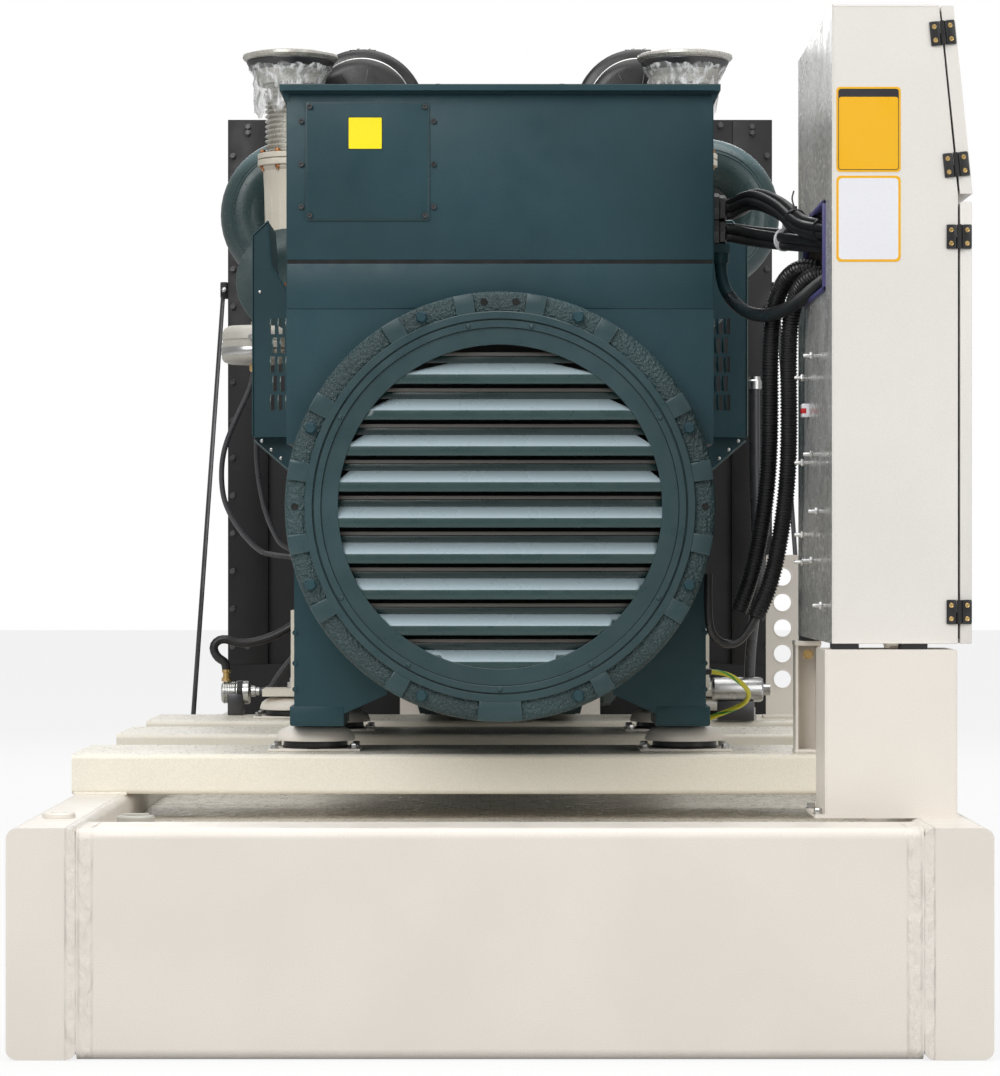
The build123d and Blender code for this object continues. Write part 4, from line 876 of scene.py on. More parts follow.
@dataclass
class Workshop:
    """The trees and the small fittings that every sub-assembly uses."""

    repeats: Nodes = field(default_factory=repeat_tree)
    sweeps: Nodes = field(default_factory=sweep_tree)
    blades: Nodes = field(default_factory=blade_tree)
    items: dict[str, bpy.types.Object] = field(default_factory=dict)

    def item(self, name: str, profiles: Sequence[tuple[int, Outline]]) -> None:
        """Makes a fitting of turned shapes that stand on each other.

        Args:
            name: The fitting's name.
            profiles: Each shape's sides with its radius and height pairs.
        """
        piece = Piece(name)
        for sides, profile in profiles:
            piece.lathe(Matrix.Identity(4), profile, STEEL, sides)
        made = piece.solid()
        made.set_sharp_from_angle(angle=radians(35))
        self.items[name] = put(name, made)

    def stock(self) -> None:
        """Makes the fittings, each 10 mm across its head or thread."""
        self.item("hex_bolt", [(20, [(6.6, 0), (6.6, 1.2), (6.2, 1.5), (0, 1.5)]),
                               (6, [(5.7, 1.5), (5.8, 1.9), (5.8, 6.4), (5.1, 7.4), (0, 7.4)])])
        self.item("nut", [(20, [(9.5, 0), (9.5, 1.6), (9.0, 2.0), (0, 2.0)]),
                          (6, [(8.6, 2.0), (9.0, 2.5), (9.0, 9.6), (8.2, 10.4), (0, 10.4)]),
                          (14, [(4.6, 9.0), (4.6, 17), (3.8, 18), (0, 18)])])
        self.item("socket_bolt", [(20, [(5.0, 0), (5.0, 4.6), (4.6, 5.2), (2.9, 5.2), (2.7, 2.2),
                                        (0, 2.2)])])
        self.item("rivet", [(14, [(5.0, 0), (4.7, 1.6), (3.4, 3.2), (0, 4.0)])])
        self.item("ring_screw", [(16, [(5.0, 0), (5.0, 1.0), (4.2, 1.8), (3.4, 1.4), (3.0, 0.8), (0, 0.8)])])
        self.item("stud", [(14, [(5.0, 0), (5.0, 34), (4.2, 36), (0, 36)]),
                           (6, [(8.8, 12), (9.2, 12.6), (9.2, 20), (8.4, 21), (0, 21)])])
        self.item("knob", [(24, [(5.0, 0), (5.2, 2.0), (4.4, 6.0), (2.6, 8.4), (0, 9.0)])])

    def repeat(self, name: str, item: str, size: float, spots: Sequence[Matrix], finish: Finish,
               body: str = "set", slot: str = "") -> None:
        """Sets a fitting at each spot.

        Args:
            name: The piece's name.
            item: The fitting's name.
            size: Its size across, in millimetres.
            spots: The frame at each spot.
            finish: The finish of all of them.
            body: The body that they move with.
            slot: Not used.
        """
        host = bpy.data.meshes.new(name)
        host.from_pydata([tuple(spot.translation * MM) for spot in spots], [], [])
        turns = host.attributes.new("turn", "FLOAT_VECTOR", "POINT")
        for value, spot in zip(turns.data, spots):
            value.vector = spot.to_euler()
        mesh = self.repeats.bake(name, host, {"Item": self.items[item], "Size": size / 10, "Spin": SPIN,
                                              "Finish": finish.material()})
        settle(name, mesh, body)

    def sweep(self, name: str, points: Sequence[Triple], radius: float, finish: Finish, sides: int = 16,
              step: float = 8.0, rib: float = 0.0, replaced: Sequence[str] = (), slot: str = "") -> None:
        """Runs a hose or pipe along a smooth route.

        Args:
            name: The piece's name.
            points: The route's control points.
            radius: Its radius.
            finish: Its finish.
            sides: Sides round it.
            step: Distance between its rings.
            rib: Depth of its ribs as a share of the radius.
            replaced: The nodes that it stands for.
            slot: Not used.
        """
        mesh = self.sweeps.bake(name, line_data(name, points),
                                {"Radius": radius * MM, "Sides": sides, "Step": step * MM, "Rib": rib,
                                 "Finish": finish.material()})
        mesh.shade_smooth()
        mesh.set_sharp_from_angle(angle=radians(50))
        settle(name, mesh, "set", replaced)

    def clear(self) -> None:
        """Removes the fittings' originals."""
        for item in self.items.values():
            bpy.data.objects.remove(item)


def line_data(name: str, points: Sequence[Triple]) -> bpy.types.Curve:
    """Draws one smooth open line.

    Args:
        name: The curve's name.
        points: Its control points, in millimetres.

    Returns:
        The curve data.
    """
    curve = bpy.data.curves.new(name, "CURVE")
    curve.dimensions = "3D"
    curve.resolution_u = 16
    spline = curve.splines.new("NURBS")
    spline.points.add(len(points) - 1)
    for target, point in zip(spline.points, points):
        target.co = (*(MM * part for part in point), 1.0)
    spline.order_u = 3
    spline.use_endpoint_u = True
    return curve


def cross(radius: float, sides: int, turn: float = 0.0) -> list[tuple[float, float]]:
    """Draws a regular outline.

    Args:
        radius: Its corners' distance from its middle.
        sides: Its sides.
        turn: Its turn, in degrees.

    Returns:
        Its corners.
    """
    return [(radius * cos(radians(turn) + 2 * pi * index / sides),
             radius * sin(radians(turn) + 2 * pi * index / sides)) for index in range(sides)]


def rounded_box(low: tuple[float, float], high: tuple[float, float], radius: float,
                steps: int = 5) -> list[tuple[float, float]]:
    """Draws a rectangle with round corners.

    Args:
        low: Its lower left corner.
        high: Its upper right corner.
        radius: Its corners' radius.
        steps: Divisions of each corner.

    Returns:
        Its outline.
    """
    outline = []
    corners = ((high[0] - radius, high[1] - radius, 0), (low[0] + radius, high[1] - radius, 90),
               (low[0] + radius, low[1] + radius, 180), (high[0] - radius, low[1] + radius, 270))
    for x, y, start in corners:
        for step in range(steps + 1):
            turn = radians(start + 90 * step / steps)
            outline.append((x + radius * cos(turn), y + radius * sin(turn)))
    return outline


def polar(radius: float, angle: float, middle_z: float) -> tuple[float, float]:
    """Gives X and Z at a clockwise angle from the top of a circle round the shaft."""
    return radius * sin(radians(angle)), middle_z + radius * cos(radians(angle))


@dataclass
class Coats:
    """The finish of each solid that stays."""

    solids: dict[str, Finish] = field(default_factory=lambda: {"base_rail_left": RAIL,
                                                               "base_rail_right": RAIL,
                                                               "base_end_front": WELDED,
                                                               "base_end_rear": WELDED, "fuel_tank": LIT_DECK,
                                                               "crossbeam_front": LIT_BEAM,
                                                               "crossbeam_middle": LIT_BEAM,
                                                               "crossbeam_rear": LIT_BEAM,
                                                               "alternator_frame": GREEN,
                                                               "alternator_feet_left": GREEN,
                                                               "alternator_feet_right": GREEN,
                                                               "terminal_box": GREEN,
                                                               "terminal_box_lid": GREEN,
                                                               "access_plate": GREEN,
                                                               "side_hood_left": GREEN,
                                                               "side_hood_right": GREEN,
                                                               "alternator_fittings": GREEN,
                                                               "flywheel_housing": BLOCK, "crankcase": BLOCK,
                                                               "oil_pan": BLOCK, "cylinder_heads": BLOCK,
                                                               "intake_plenum": BLOCK, "gear_cover": BLOCK,
                                                               "engine_mount_brackets": LIT_BEAM,
                                                               "engine_front_support": CREAM,
                                                               "exhaust_manifolds": RISER,
                                                               "charge_air_pipes": PIPE,
                                                               "cleaner_frame": BLACK, "fan": BLACK,
                                                               "fan_shroud": BLACK, "radiator_posts": BLACK,
                                                               "radiator_tanks": BLACK,
                                                               "radiator_core": CORE,
                                                               "radiator_stays": DARK_STEEL,
                                                               "coolant_pipes": PIPE,
                                                               "cabinet_body": CABINET,
                                                               "cabinet_back": CABINET_BACK,
                                                               "lower_door": CABINET, "upper_door": CABINET,
                                                               "cabinet_hinges": PLASTIC,
                                                               "upper_door_hinges": PLASTIC,
                                                               "lower_door_hinges": PLASTIC,
                                                               "cabinet_pedestal": CREAM,
                                                               "cabinet_rear_support": CREAM,
                                                               "cabinet_pads": RUBBER,
                                                               "vibration_mounts": CREAM,
                                                               "perforated_strap": CREAM,
                                                               "drain_pump": STEEL, "breather_can": CAN,
                                                               "end_shield_ring": CAST,
                                                               "air_cleaners": PLASTIC,
                                                               "exhaust_bellows_left": BELLOWS,
                                                               "exhaust_bellows_right": BELLOWS,
                                                               "intake_louvre": MACHINED,
                                                               "power_cables": RUBBER,
                                                               "ribbed_conduits": PLASTIC,
                                                               "hoses_right": RUBBER, "hoses_left": RUBBER})

    def apply(self, nodes: dict[str, bpy.types.Object]) -> None:
        """Gives each solid its finish.

        Args:
            nodes: The solids by name.
        """
        for name, finish in self.solids.items():
            for held in nodes[name].material_slots:
                held.material = finish.material()
        LOG.info("coats: %d solids", len(self.solids))


@dataclass
class Assembly:
    """One group of the set's pieces, built with the shared trees and fittings."""

    shop: Workshop


@dataclass
class Skid(Assembly):
    """What is finer than the skid's solids: weld seams, lifting holes, deck plates and the filler cap."""

    half_width: float = 984.0
    top: float = 462.0
    deck: float = 402.0
    rail: float = 140.0
    beams: tuple[float, ...] = (-1611.0, -707.0, 19.0)

    def seams(self) -> None:
        """Makes the weld seams along the feet of the beams."""
        piece = Piece("skid_welds")
        chance = random.Random(3)
        for middle in self.beams:
            for side in (-1, 1):
                for edge in (-1, 1):
                    y = middle + edge * 199
                    run = [(side * (self.half_width - self.rail + 8 + index * 12),
                            y + chance.uniform(-0.8, 0.8), self.top + 1.5) for index in range(11)]
                    piece.tube(run, 4.0, LIT_BEAM, 7, 2)
        piece.build("cream_paint")

    def filler(self) -> None:
        """Makes the cap on the tank's filler neck."""
        piece = Piece("tank_filler_cap")
        place = standing(-757, -2500, 0)
        piece.lathe(place, [(36, 402.5), (44, 403), (44, 410), (36, 412)], LIT_BEAM, 28)
        for z in (417, 423, 429, 435):
            piece.lathe(place, [(30, z - 2.6), (31.6, z - 1), (31.6, z + 1), (30, z + 2.6)], STEEL, 28)
        piece.lathe(place, [(38.4, 443), (39.6, 445), (39.6, 462), (37, 465), (26, 466.2), (24, 464.6),
                            (0, 464.6)], CAN, 28)
        piece.box((-785, -2504, 464), (-729, -2496, 470), CAN, 2)
        piece.build("cream_paint")

    def deck_plates(self) -> None:
        """Makes the tank's inspection plates and fittings that lie on its deck, and the lifting eyes."""
        piece = Piece("deck_plates")
        spots = []
        for x, y in ((-560, 700), (430, 1300), (0, 2560), (-560, 1300)):
            piece.lathe(standing(x, y, self.deck), [(120, 0.2), (120, 7), (117, 9), (0, 9)], LIT_DECK, 36)
            piece.lathe(standing(x, y, self.deck + 9), [(22, 0), (22, 14), (18, 18), (0, 18)], STEEL, 20)
            spots += [standing(x + u, y + v, self.deck + 9) for u, v in cross(102, 8)]
        piece.build("cream_paint")
        self.shop.repeat("deck_plate_bolts", "hex_bolt", 12, spots, STEEL)
        lugs = Piece("lifting_eyes")
        for side in (-1, 1):
            for y in (-2520, 2560):
                x = side * (self.half_width - self.rail / 2)
                if (side, y) != (1, -2520):
                    lugs.lathe(standing(x, y, self.top), [(34, 0.2), (34, 8), (31, 11), (18, 11), (16, 5),
                                                          (0, 5)], CREAM, 28)
        lugs.build("cream_paint")

    def build(self) -> None:
        """Makes all of it."""
        self.seams()
        self.filler()
        self.deck_plates()


@dataclass
class EndShield(Assembly):
    """The cast ring of the alternator's end shield with its pads, bolts and holes."""

    shaft: float = SHAFT
    front: float = -2005.0
    back: float = -1941.0
    outer: float = 480.0
    band: float = 435.0
    groove: float = 417.0
    bore: float = 399.0
    pads: tuple[float, ...] = (10.0, 31.0, 60.5, 80.0, 100.5, 120.5, 150.0)

    def ring(self) -> None:
        """Makes the ring with its rough band, smooth register, groove and inner ring, and the pads."""
        piece = Piece("end_shield")
        place = upright(0, 0, self.shaft)
        front, back = -self.front, -self.back
        piece.lathe(place, [(self.band - 2, front - 12), (self.band - 2, front - 7),
                            (self.band + 4, front - 5), (self.outer - 12, front - 5),
                            (self.outer - 4, front - 7.5), (self.outer - 0.3, front - 12),
                            (self.outer, front - 24), (self.outer - 9, front - 30),
                            (self.outer - 9, back + 12), (self.outer - 2, back + 8),
                            (self.outer - 2, back + 0.5), (self.band - 2, back + 0.5)], CAST, 220, True)
        piece.lathe(place, [(self.groove + 1, front - 6), (self.groove + 1, front + 2.6),
                            (self.groove + 2, front + 3.8), (self.band - 1.6, front + 3.8),
                            (self.band, front + 2.4), (self.band, front - 12)], MACHINED, 220, True)
        piece.lathe(place, [(self.bore, back + 4), (self.bore, front + 3), (self.bore + 1, front + 3.8),
                            (self.groove - 3.4, front + 3.8), (self.groove - 2.6, front + 2.8),
                            (self.groove - 2.6, front - 5), (self.groove + 1, front - 5),
                            (self.groove + 1, back + 4)], MACHINED, 220, True)
        for angle, wide in [(side * a, 44.0) for a in self.pads for side in (-1, 1)] + [(180.0, 98.0)]:
            middle = (self.band + self.outer) / 2
            turn = place @ turned(90 - angle)
            half = degrees(wide / 2 / middle)
            outline = [(radius * cos(radians(step * half / 5)), radius * sin(radians(step * half / 5)))
                       for radius, steps in ((self.band - 1, range(-5, 6)),
                                             (self.outer - 1.5, range(5, -6, -1))) for step in steps]
            piece.sheet(outline, turn @ shift(0, 0, front - 9), 12, MACHINED, bevel=2.2)
        piece.build("green_paint", ["end_shield_ring"])

    def holes(self) -> None:
        """Makes the tapped holes as near-black discs of painted shade, the scribed line, and the casing's
        fins, whose edges carry a painted highlight.
        """
        piece = Piece("end_shield_marks")
        # Near-black discs on the face stand in for the holes: painted shade.
        for angle, radius in ((-4.5, 457), (4.5, 457), (90, 457), (-90, 457)):
            x, z = polar(radius, angle, self.shaft)
            piece.lathe(upright(x, self.front + 4.6, z),
                        [(8.0, 0), (8.0, 0.9), (6.4, 1.1), (6.0, 0.4), (0, 0.4)], VOID, 20)
        x, z = polar(450, 0, self.shaft)
        piece.box((-0.7, self.front - 4.0, z - 32), (0.7, self.front - 3.4, z - 16), SKYLIT_BLADE, 0.2)
        chance = random.Random(5)
        for side in (-1, 1):
            for step in range(13):
                angle = 100 + step * 4.3 + chance.uniform(-0.4, 0.4)
                x, z = polar(self.outer - 9.5, side * angle, self.shaft)
                place = standing(x, 0, z) @ turned(side * angle, "Y")
                # The fins take the skylit blade paint: a painted highlight along their edges.
                piece.box((-6.5, self.back - 33, -1.2), (6.5, self.back - 14, 4.2), SKYLIT_BLADE, 0.8, place)
        piece.build("green_paint")

    def bolts(self) -> None:
        """Makes the ring's bolts and the round screws of the intake."""
        spots = []
        for angle in (22.5, 67.5, 112.5, 157.5):
            for side in (-1, 1):
                x, z = polar(456, side * angle, self.shaft)
                spots.append(upright(x, self.front + 5, z))
        self.shop.repeat("end_shield_bolts", "hex_bolt", 21, spots, GREEN, slot="green_paint")
        screws = []
        for angle in (10, 61, 120, 150):
            for side in (-1, 1):
                x, z = polar(407, side * angle, self.shaft)
                screws.append(upright(x, self.front - 3.6, z))
        screws.append(upright(0, self.front - 3.6, self.shaft - 407))
        self.shop.repeat("intake_screws", "rivet", 11, screws, MACHINED, slot="green_paint")

    def build(self) -> None:
        """Makes all of it."""
        self.ring()
        self.holes()
        self.bolts()


@dataclass
class AirIntake(Assembly):
    """The round louvred air intake: a flat rim and drip blades cut to its circle."""

    shaft: float = SHAFT
    front: float = -2003.0
    outer: float = 398.7
    inner: float = 361.0
    pitch: float = 80.0
    count: int = 9
    rise: float = 31.0
    lip: float = 21.0
    lowest: float = 770.0

    def rim(self) -> None:
        """Makes the rim, and behind the blades a near-black disc: painted shade of the cavity."""
        piece = Piece("intake_rim")
        place = upright(0, 0, self.shaft)
        front = -self.front
        piece.lathe(place, [(self.inner + 1, front - 20), (self.inner, front - 18),
                            (self.inner, front - 0.8), (self.inner + 1, front), (self.outer - 1, front),
                            (self.outer, front - 1), (self.outer, front - 20)], MACHINED, 200, True)
        piece.lathe(place, [(self.outer - 4, front - 60), (self.outer - 4, front - 56), (0, front - 56),
                            (0, front - 60)], VOID, 96)
        piece.build("green_paint", ["intake_louvre"])

    def blade(self) -> bpy.types.Object:
        """Draws one blade: a sloping face that leans back, an upright lip and a drip fold under it.

        Returns:
            The blade's object, with its lip's fold at Z 0.
        """
        section = [(30.0, self.rise), (2.0, 1.4), (0.6, 0.0), (0.0, -1.6), (0.0, -self.lip + 1.2),
                   (0.6, -self.lip), (12.0, -self.lip - 1.0), (12.0, -self.lip + 1.2),
                   (3.4, -self.lip + 2.4), (3.4, -2.6), (4.6, -1.0), (31.0, self.rise - 3.4)]
        columns = [-400 + 800 * index / 40 for index in range(41)]
        piece = Piece("blade")
        piece.loft([[Vector((x, self.front + 3 + y, z)) for y, z in section] for x in columns], SKYLIT_BLADE)
        return put("blade", piece.solid())

    def blades(self) -> None:
        """Stacks the blades up the opening."""
        item = self.blade()
        host = bpy.data.meshes.new("intake_blades")
        mesh = self.shop.blades.bake("intake_blades", host,
                                     {"Blade": item, "Count": self.count,
                                      "Pitch": (0.0, 0.0, self.pitch * MM),
                                      "Lowest": (0.0, 0.0, self.lowest * MM), "Middle": self.shaft * MM,
                                      "Radius": (self.inner + 6) * MM, "Finish": SKYLIT_BLADE.material()})
        bpy.data.objects.remove(item)
        trimmed = bmesh.new()
        trimmed.from_mesh(mesh)
        reach = (self.inner + 8) * MM
        low = [vert for vert in trimmed.verts if abs(vert.co.z - self.shaft * MM) > reach]
        bmesh.ops.delete(trimmed, geom=low, context="VERTS")
        for vert in trimmed.verts:
            above = vert.co.z / MM - self.shaft
            if vert.co.y > (self.front + 25) * MM and above > 0:
                half = sqrt(max(1.0, (self.inner + 4 - 26 * min(1.0, above / 90)) ** 2 - above ** 2)) * MM
                vert.co.x = max(-half, min(half, vert.co.x))
        bmesh.ops.remove_doubles(trimmed, verts=trimmed.verts, dist=0.00002)
        bmesh.ops.holes_fill(trimmed, edges=[edge for edge in trimmed.edges if edge.is_boundary])
        bmesh.ops.recalc_face_normals(trimmed, faces=trimmed.faces)
        trimmed.to_mesh(mesh)
        trimmed.free()
        settle("intake_blades", mesh, "set")

    def back_strips(self) -> None:
        """Makes the strips behind the gaps: a thin grey edge over a dark band of painted shade."""
        piece = Piece("intake_strips")
        for number in range(self.count + 1):
            z = self.lowest + number * self.pitch - self.lip - 13
            for low, high, y, finish in ((-4, 4, 24.0, BACKING), (-20, -4.8, 27.0, SHADE)):
                span = max(abs(z + low - self.shaft), abs(z + high - self.shaft))
                if span < self.inner:
                    half = sqrt((self.outer - 6) ** 2 - span ** 2)
                    piece.box((-half, self.front + y, z + low), (half, self.front + y + 5, z + high), finish,
                              1)
        piece.build("green_paint")

    def build(self) -> None:
        """Makes all of it."""
        self.rim()
        self.blades()
        self.back_strips()


@dataclass
class TerminalBox(Assembly):
    """What is finer than the housing's solids: the lid's edge, seams, plate, bolts and blank plates."""

    front: float = -1941.0
    half: float = 479.0
    top: float = 2046.0
    plate: tuple[float, float] = (-297.0, 1890.0)

    def panels(self) -> None:
        """Makes the housing's front panels with their seam, and the lid's corner plates and rolled edge."""
        piece = Piece("housing_panels")
        face = self.front - 2.4
        for low, high in ((1560, 1661), (1669.5, self.top - 5)):
            piece.box((-self.half + 1, face, low), (self.half - 1, self.front + 3, high), GREEN, 1.8)
        # The near-black strip in the seam is its dark joint, with painted shade in the gap.
        piece.box((-self.half + 2, self.front - 0.8, 1659), (self.half - 2, self.front + 2, 1671), VOID, 0.2)
        lid = [(-self.half - 12, self.top - 0.5), (-self.half - 2, self.top - 16),
               (-self.half + 5, self.top - 22)]
        for side in (-1, 1):
            outline = [(-side * x, z) for x, z in lid] + [(side * (self.half - 6), self.top - 4),
                                                          (side * (self.half - 6), self.top - 0.5)]
            piece.sheet(outline, upright(0, self.front + 2, 0), 6, GREEN)
        # The lid's rolled edge takes the skylit blade paint: a painted highlight along it.
        piece.tube([(-self.half - 12, self.front - 28.4, self.top + 12),
                    (self.half + 12, self.front - 28.4, self.top + 12)], 2.0, SKYLIT_BLADE, 8, 1)
        piece.build("green_paint")

    def access(self) -> None:
        """Makes the raised access plate, the small blank card on it and its bolts."""
        x, z = self.plate
        piece = Piece("access_cover")
        face = upright(0, self.front - 2.4, 0)
        piece.sheet(rounded_box((x - 139, z - 133), (x + 139, z + 133), 6), face, 4.2, MACHINED, bevel=1.0)
        piece.sheet(rounded_box((x - 136, z - 130), (x + 136, z + 130), 5), face, 5.6, GREEN, bevel=1.4)
        y = self.front - 8.0
        low, high = (-340.6, 1916.2), (-263.4, 1989.2)
        piece.sheet(rounded_box(low, high, 3), upright(0, y, 0), 0.8, INK)
        piece.sheet(rounded_box((low[0] + 1.6, low[1] + 1.6), (high[0] - 1.6, high[1] - 1.6), 2),
                    upright(0, y - 0.6, 0), 0.7, LEMON)
        piece.build("green_paint", ["access_plate"])
        spots = [(x + u, z + v) for u in (-129, 129) for v in (-122, 122)]
        spots += [(x + u, z + v) for u in (-148.5, 148.5) for v in (-102, -6.5, 90)]
        self.shop.repeat("access_plate_bolts", "socket_bolt", 12,
                         [standing(u, self.front - (7.8 if abs(u - x) < 135 else 2.2), v, Facing.FRONT)
                          for u, v in spots], DARK_STEEL)

    def sides(self) -> None:
        """Makes the covers and bolts on the housing's sides, top and back."""
        piece = Piece("housing_side_panels")
        spots = []
        for side in (-1, 1):
            for low, high in ((-1400, -1130), (-1110, -800)):
                x = side * self.half
                piece.box((min(x, x + side * 4), low, 1700), (max(x, x + side * 4), high, 2020), GREEN, 1.6)
                facing = Facing.RIGHT if side > 0 else Facing.LEFT
                spots += [standing(x + side * 4, y, z, facing)
                          for y in (low + 14, (low + high) / 2, high - 14) for z in (1715, 1860, 2005)]
        piece.box((-430, -1900, 2058), (430, -780, 2066), GREEN, 3)
        spots += [standing(u, v, 2066, Facing.UP) for u in (-410, -140, 140, 410)
                  for v in (-1880, -1520, -1160, -800)]
        piece.build("green_paint")
        self.shop.repeat("housing_side_bolts", "socket_bolt", 13, spots, DARK_STEEL)

    def casing(self) -> None:
        """Makes the ribs along the round casing and the drive end's flange bolts."""
        piece = Piece("casing_ribs")
        for number in range(44):
            angle = 62 + number * 5.5
            if abs(angle - 180) < 24 or 84 < angle < 112 or 248 < angle < 276:
                continue
            x, z = polar(472, angle, SHAFT)
            place = standing(x, 0, z) @ turned(angle, "Y")
            piece.box((-4, -1890, -2), (4, -1790, 7), GREEN, 1.5, place)
            if not (115 < angle < 150 or 210 < angle < 245):
                piece.box((-4, -1780, -2), (4, -500, 7), GREEN, 1.5, place)
        piece.build("green_paint")
        spots = []
        for number in range(24):
            x, z = polar(450, 7.5 + number * 15, SHAFT)
            if not -480 < x < 480 or z < 1240:
                spots.append(standing(x, -450, z, Facing.REAR))
        self.shop.repeat("casing_flange_bolts", "hex_bolt", 19, spots, GREEN, slot="green_paint")

    def build(self) -> None:
        """Makes all of it."""
        self.panels()
        self.access()
        self.sides()
        self.casing()


@dataclass
class Hoods(Assembly):
    """The folded edges, vents and rivets of the outlet hoods."""

    inner: float = 479.0
    outer: float = 650.0
    front: float = -650.0
    top: float = 1887.0

    def edges(self) -> None:
        """Makes the hoods' folded edges, gussets and the ring behind the cut-away corner."""
        piece = Piece("hood_edges")
        y = self.front - 1.6
        piece.tube([(-self.outer + 2, y, 1322), (-self.outer + 2, y, 1848),
                    (-self.outer + 42, y, self.top - 1)], 2.2, GREEN, 8, 1)
        piece.tube([(-self.outer + 42, y, self.top - 1), (-self.outer + 50, y, 1770),
                    (-self.inner - 3, y, 1582)], 2.4, GREEN, 8, 1)
        # The right hood's edge and both lower edges take the skylit blade paint: a painted highlight along
        # them. The left hood's edges keep the green paint.
        piece.tube([(self.outer - 2, y, 1322), (self.outer - 2, y, 1848), (self.outer - 42, y, self.top - 1),
                    (self.inner + 3, y, self.top - 1)], 2.2, SKYLIT_BLADE, 8, 1)
        piece.tube([(-self.outer + 6, y + 1, 1310), (-self.inner - 4, y + 1, 1170)], 2.0, SKYLIT_BLADE, 8, 1)
        piece.tube([(self.outer - 6, y + 1, 1310), (self.inner + 4, y + 1, 1170)], 2.0, SKYLIT_BLADE, 8, 1)
        for side in (-1, 1):
            outline = [(side * (self.inner + 2), 1180), (side * (self.inner + 2), 1320),
                       (side * (self.outer - 4), 1320)]
            piece.sheet(outline, upright(0, self.front + 52, 0), 3, GREEN)
        ring = upright(-self.inner - 60, -480, 1700)
        piece.lathe(ring, [(44, -9), (51, -9), (51, 9), (44, 9)], COPPER, 40, True)
        piece.build("green_paint")

    def vents(self) -> None:
        """Makes the raised arch over each vent slot."""
        piece = Piece("hood_vents")
        for side in (-1, 1):
            for row in range(5):
                for column in range(3):
                    x = side * (self.inner + 78 + column * 20 - (6 if row % 2 else 0))
                    z = 1610 - row * 50
                    rings = []
                    for step in range(9):
                        share = step / 8
                        lift = 5.5 * sin(pi * share)
                        level = z - 20.5 + 41 * share
                        rings.append([Vector((x - 8, self.front - 0.2, level)),
                                      Vector((x - 6.4, self.front - lift - 0.4, level)),
                                      Vector((x - 3, self.front - lift - 0.8, level)),
                                      Vector((x - 5, self.front - 0.2, level))])
                    # The left hood's vent arches take the skylit blade paint, a painted highlight. The right
                    # ones keep the green paint.
                    piece.loft(rings, SKYLIT_BLADE if side < 0 else GREEN)
        piece.build("green_paint")

    def build(self) -> None:
        """Makes all of it."""
        self.edges()
        self.vents()
        spots = [upright(-self.inner - 20 - index * 25, self.front - 0.2, 1196 + index * 22.8)
                 for index in range(6)]
        spots += [upright(self.inner + 20 + index * 25, self.front - 0.2, 1196 + index * 22.8)
                  for index in range(6)]
        spots += [upright(self.inner + 104, self.front - 0.2, 1752),
                  upright(-self.inner - 150, self.front - 0.2, 1700)]
        self.shop.repeat("hood_rivets", "rivet", 11, spots, STEEL)


@dataclass
class Mounts(Assembly):
    """The rubber mounts with their domed caps, studs and bolts, and the feet's edges."""

    beam: float = 554.0
    spots: tuple[tuple[float, float], ...] = ((-430, -1637), (430, -1637), (-430, -707), (430, -707),
                                              (-585, 19), (585, 19))

    def caps(self) -> None:
        """Makes each mount's plate, rubber ring and domed cap."""
        piece = Piece("mount_caps")
        for x, y in self.spots:
            piece.box((x - 106, y - 75, self.beam + 0.3), (x + 106, y + 75, self.beam + 6), CREAM, 1.2)
            place = standing(x, y, self.beam)
            piece.lathe(place, [(60, 5), (76, 5.5), (78, 9), (75, 12), (74, 22), (77, 25), (60, 27)], RUBBER,
                        44)
            piece.lathe(place, [(84, 23), (91, 24), (91.5, 28), (90, 34), (86, 43), (76, 51), (60, 56.5),
                                (30, 60), (0, 61.5)], CREAM, 48)
        piece.build("cream_paint", ["vibration_mounts"])

    def build(self) -> None:
        """Makes all of it."""
        self.caps()
        corners, studs = [], []
        for x, y in self.spots:
            corners += [standing(x + u, y + v, self.beam + 6) for u in (-92, 92) for v in (-58, 58)]
            top = 660 if abs(x) < 500 else 636
            studs.append(standing(x, y - (20 if abs(x) < 500 else 0), top))
        self.shop.repeat("mount_bolts", "hex_bolt", 16, corners, STEEL)
        self.shop.repeat("foot_nuts", "nut", 17, studs, STEEL)
        jacks = [standing(side * x, y, 660) for side in (-1, 1) for x in (385, 462) for y in (-1740, -810)]
        self.shop.repeat("foot_jack_screws", "stud", 13, jacks, STEEL)
        feet = Piece("foot_edges")
        for side in (-1, 1):
            for low, high in ((-1772, -1502), (-830, -560)):
                feet.box((min(side * 358, side * 480), low - 2, 620),
                         (max(side * 358, side * 480), low + 4, 661), GREEN, 3)
                feet.box((min(side * 476, side * 482), low, 618), (max(side * 476, side * 482), high, 661),
                         GREEN, 2.5)
            for z in (700, 760, 830):
                x, reach = side * 470, 6
                feet.lathe(upright(x, -1772 - 0.5, z), [(reach, 0), (reach, 3), (0, 4)], GREEN, 18)
        feet.build("green_paint")


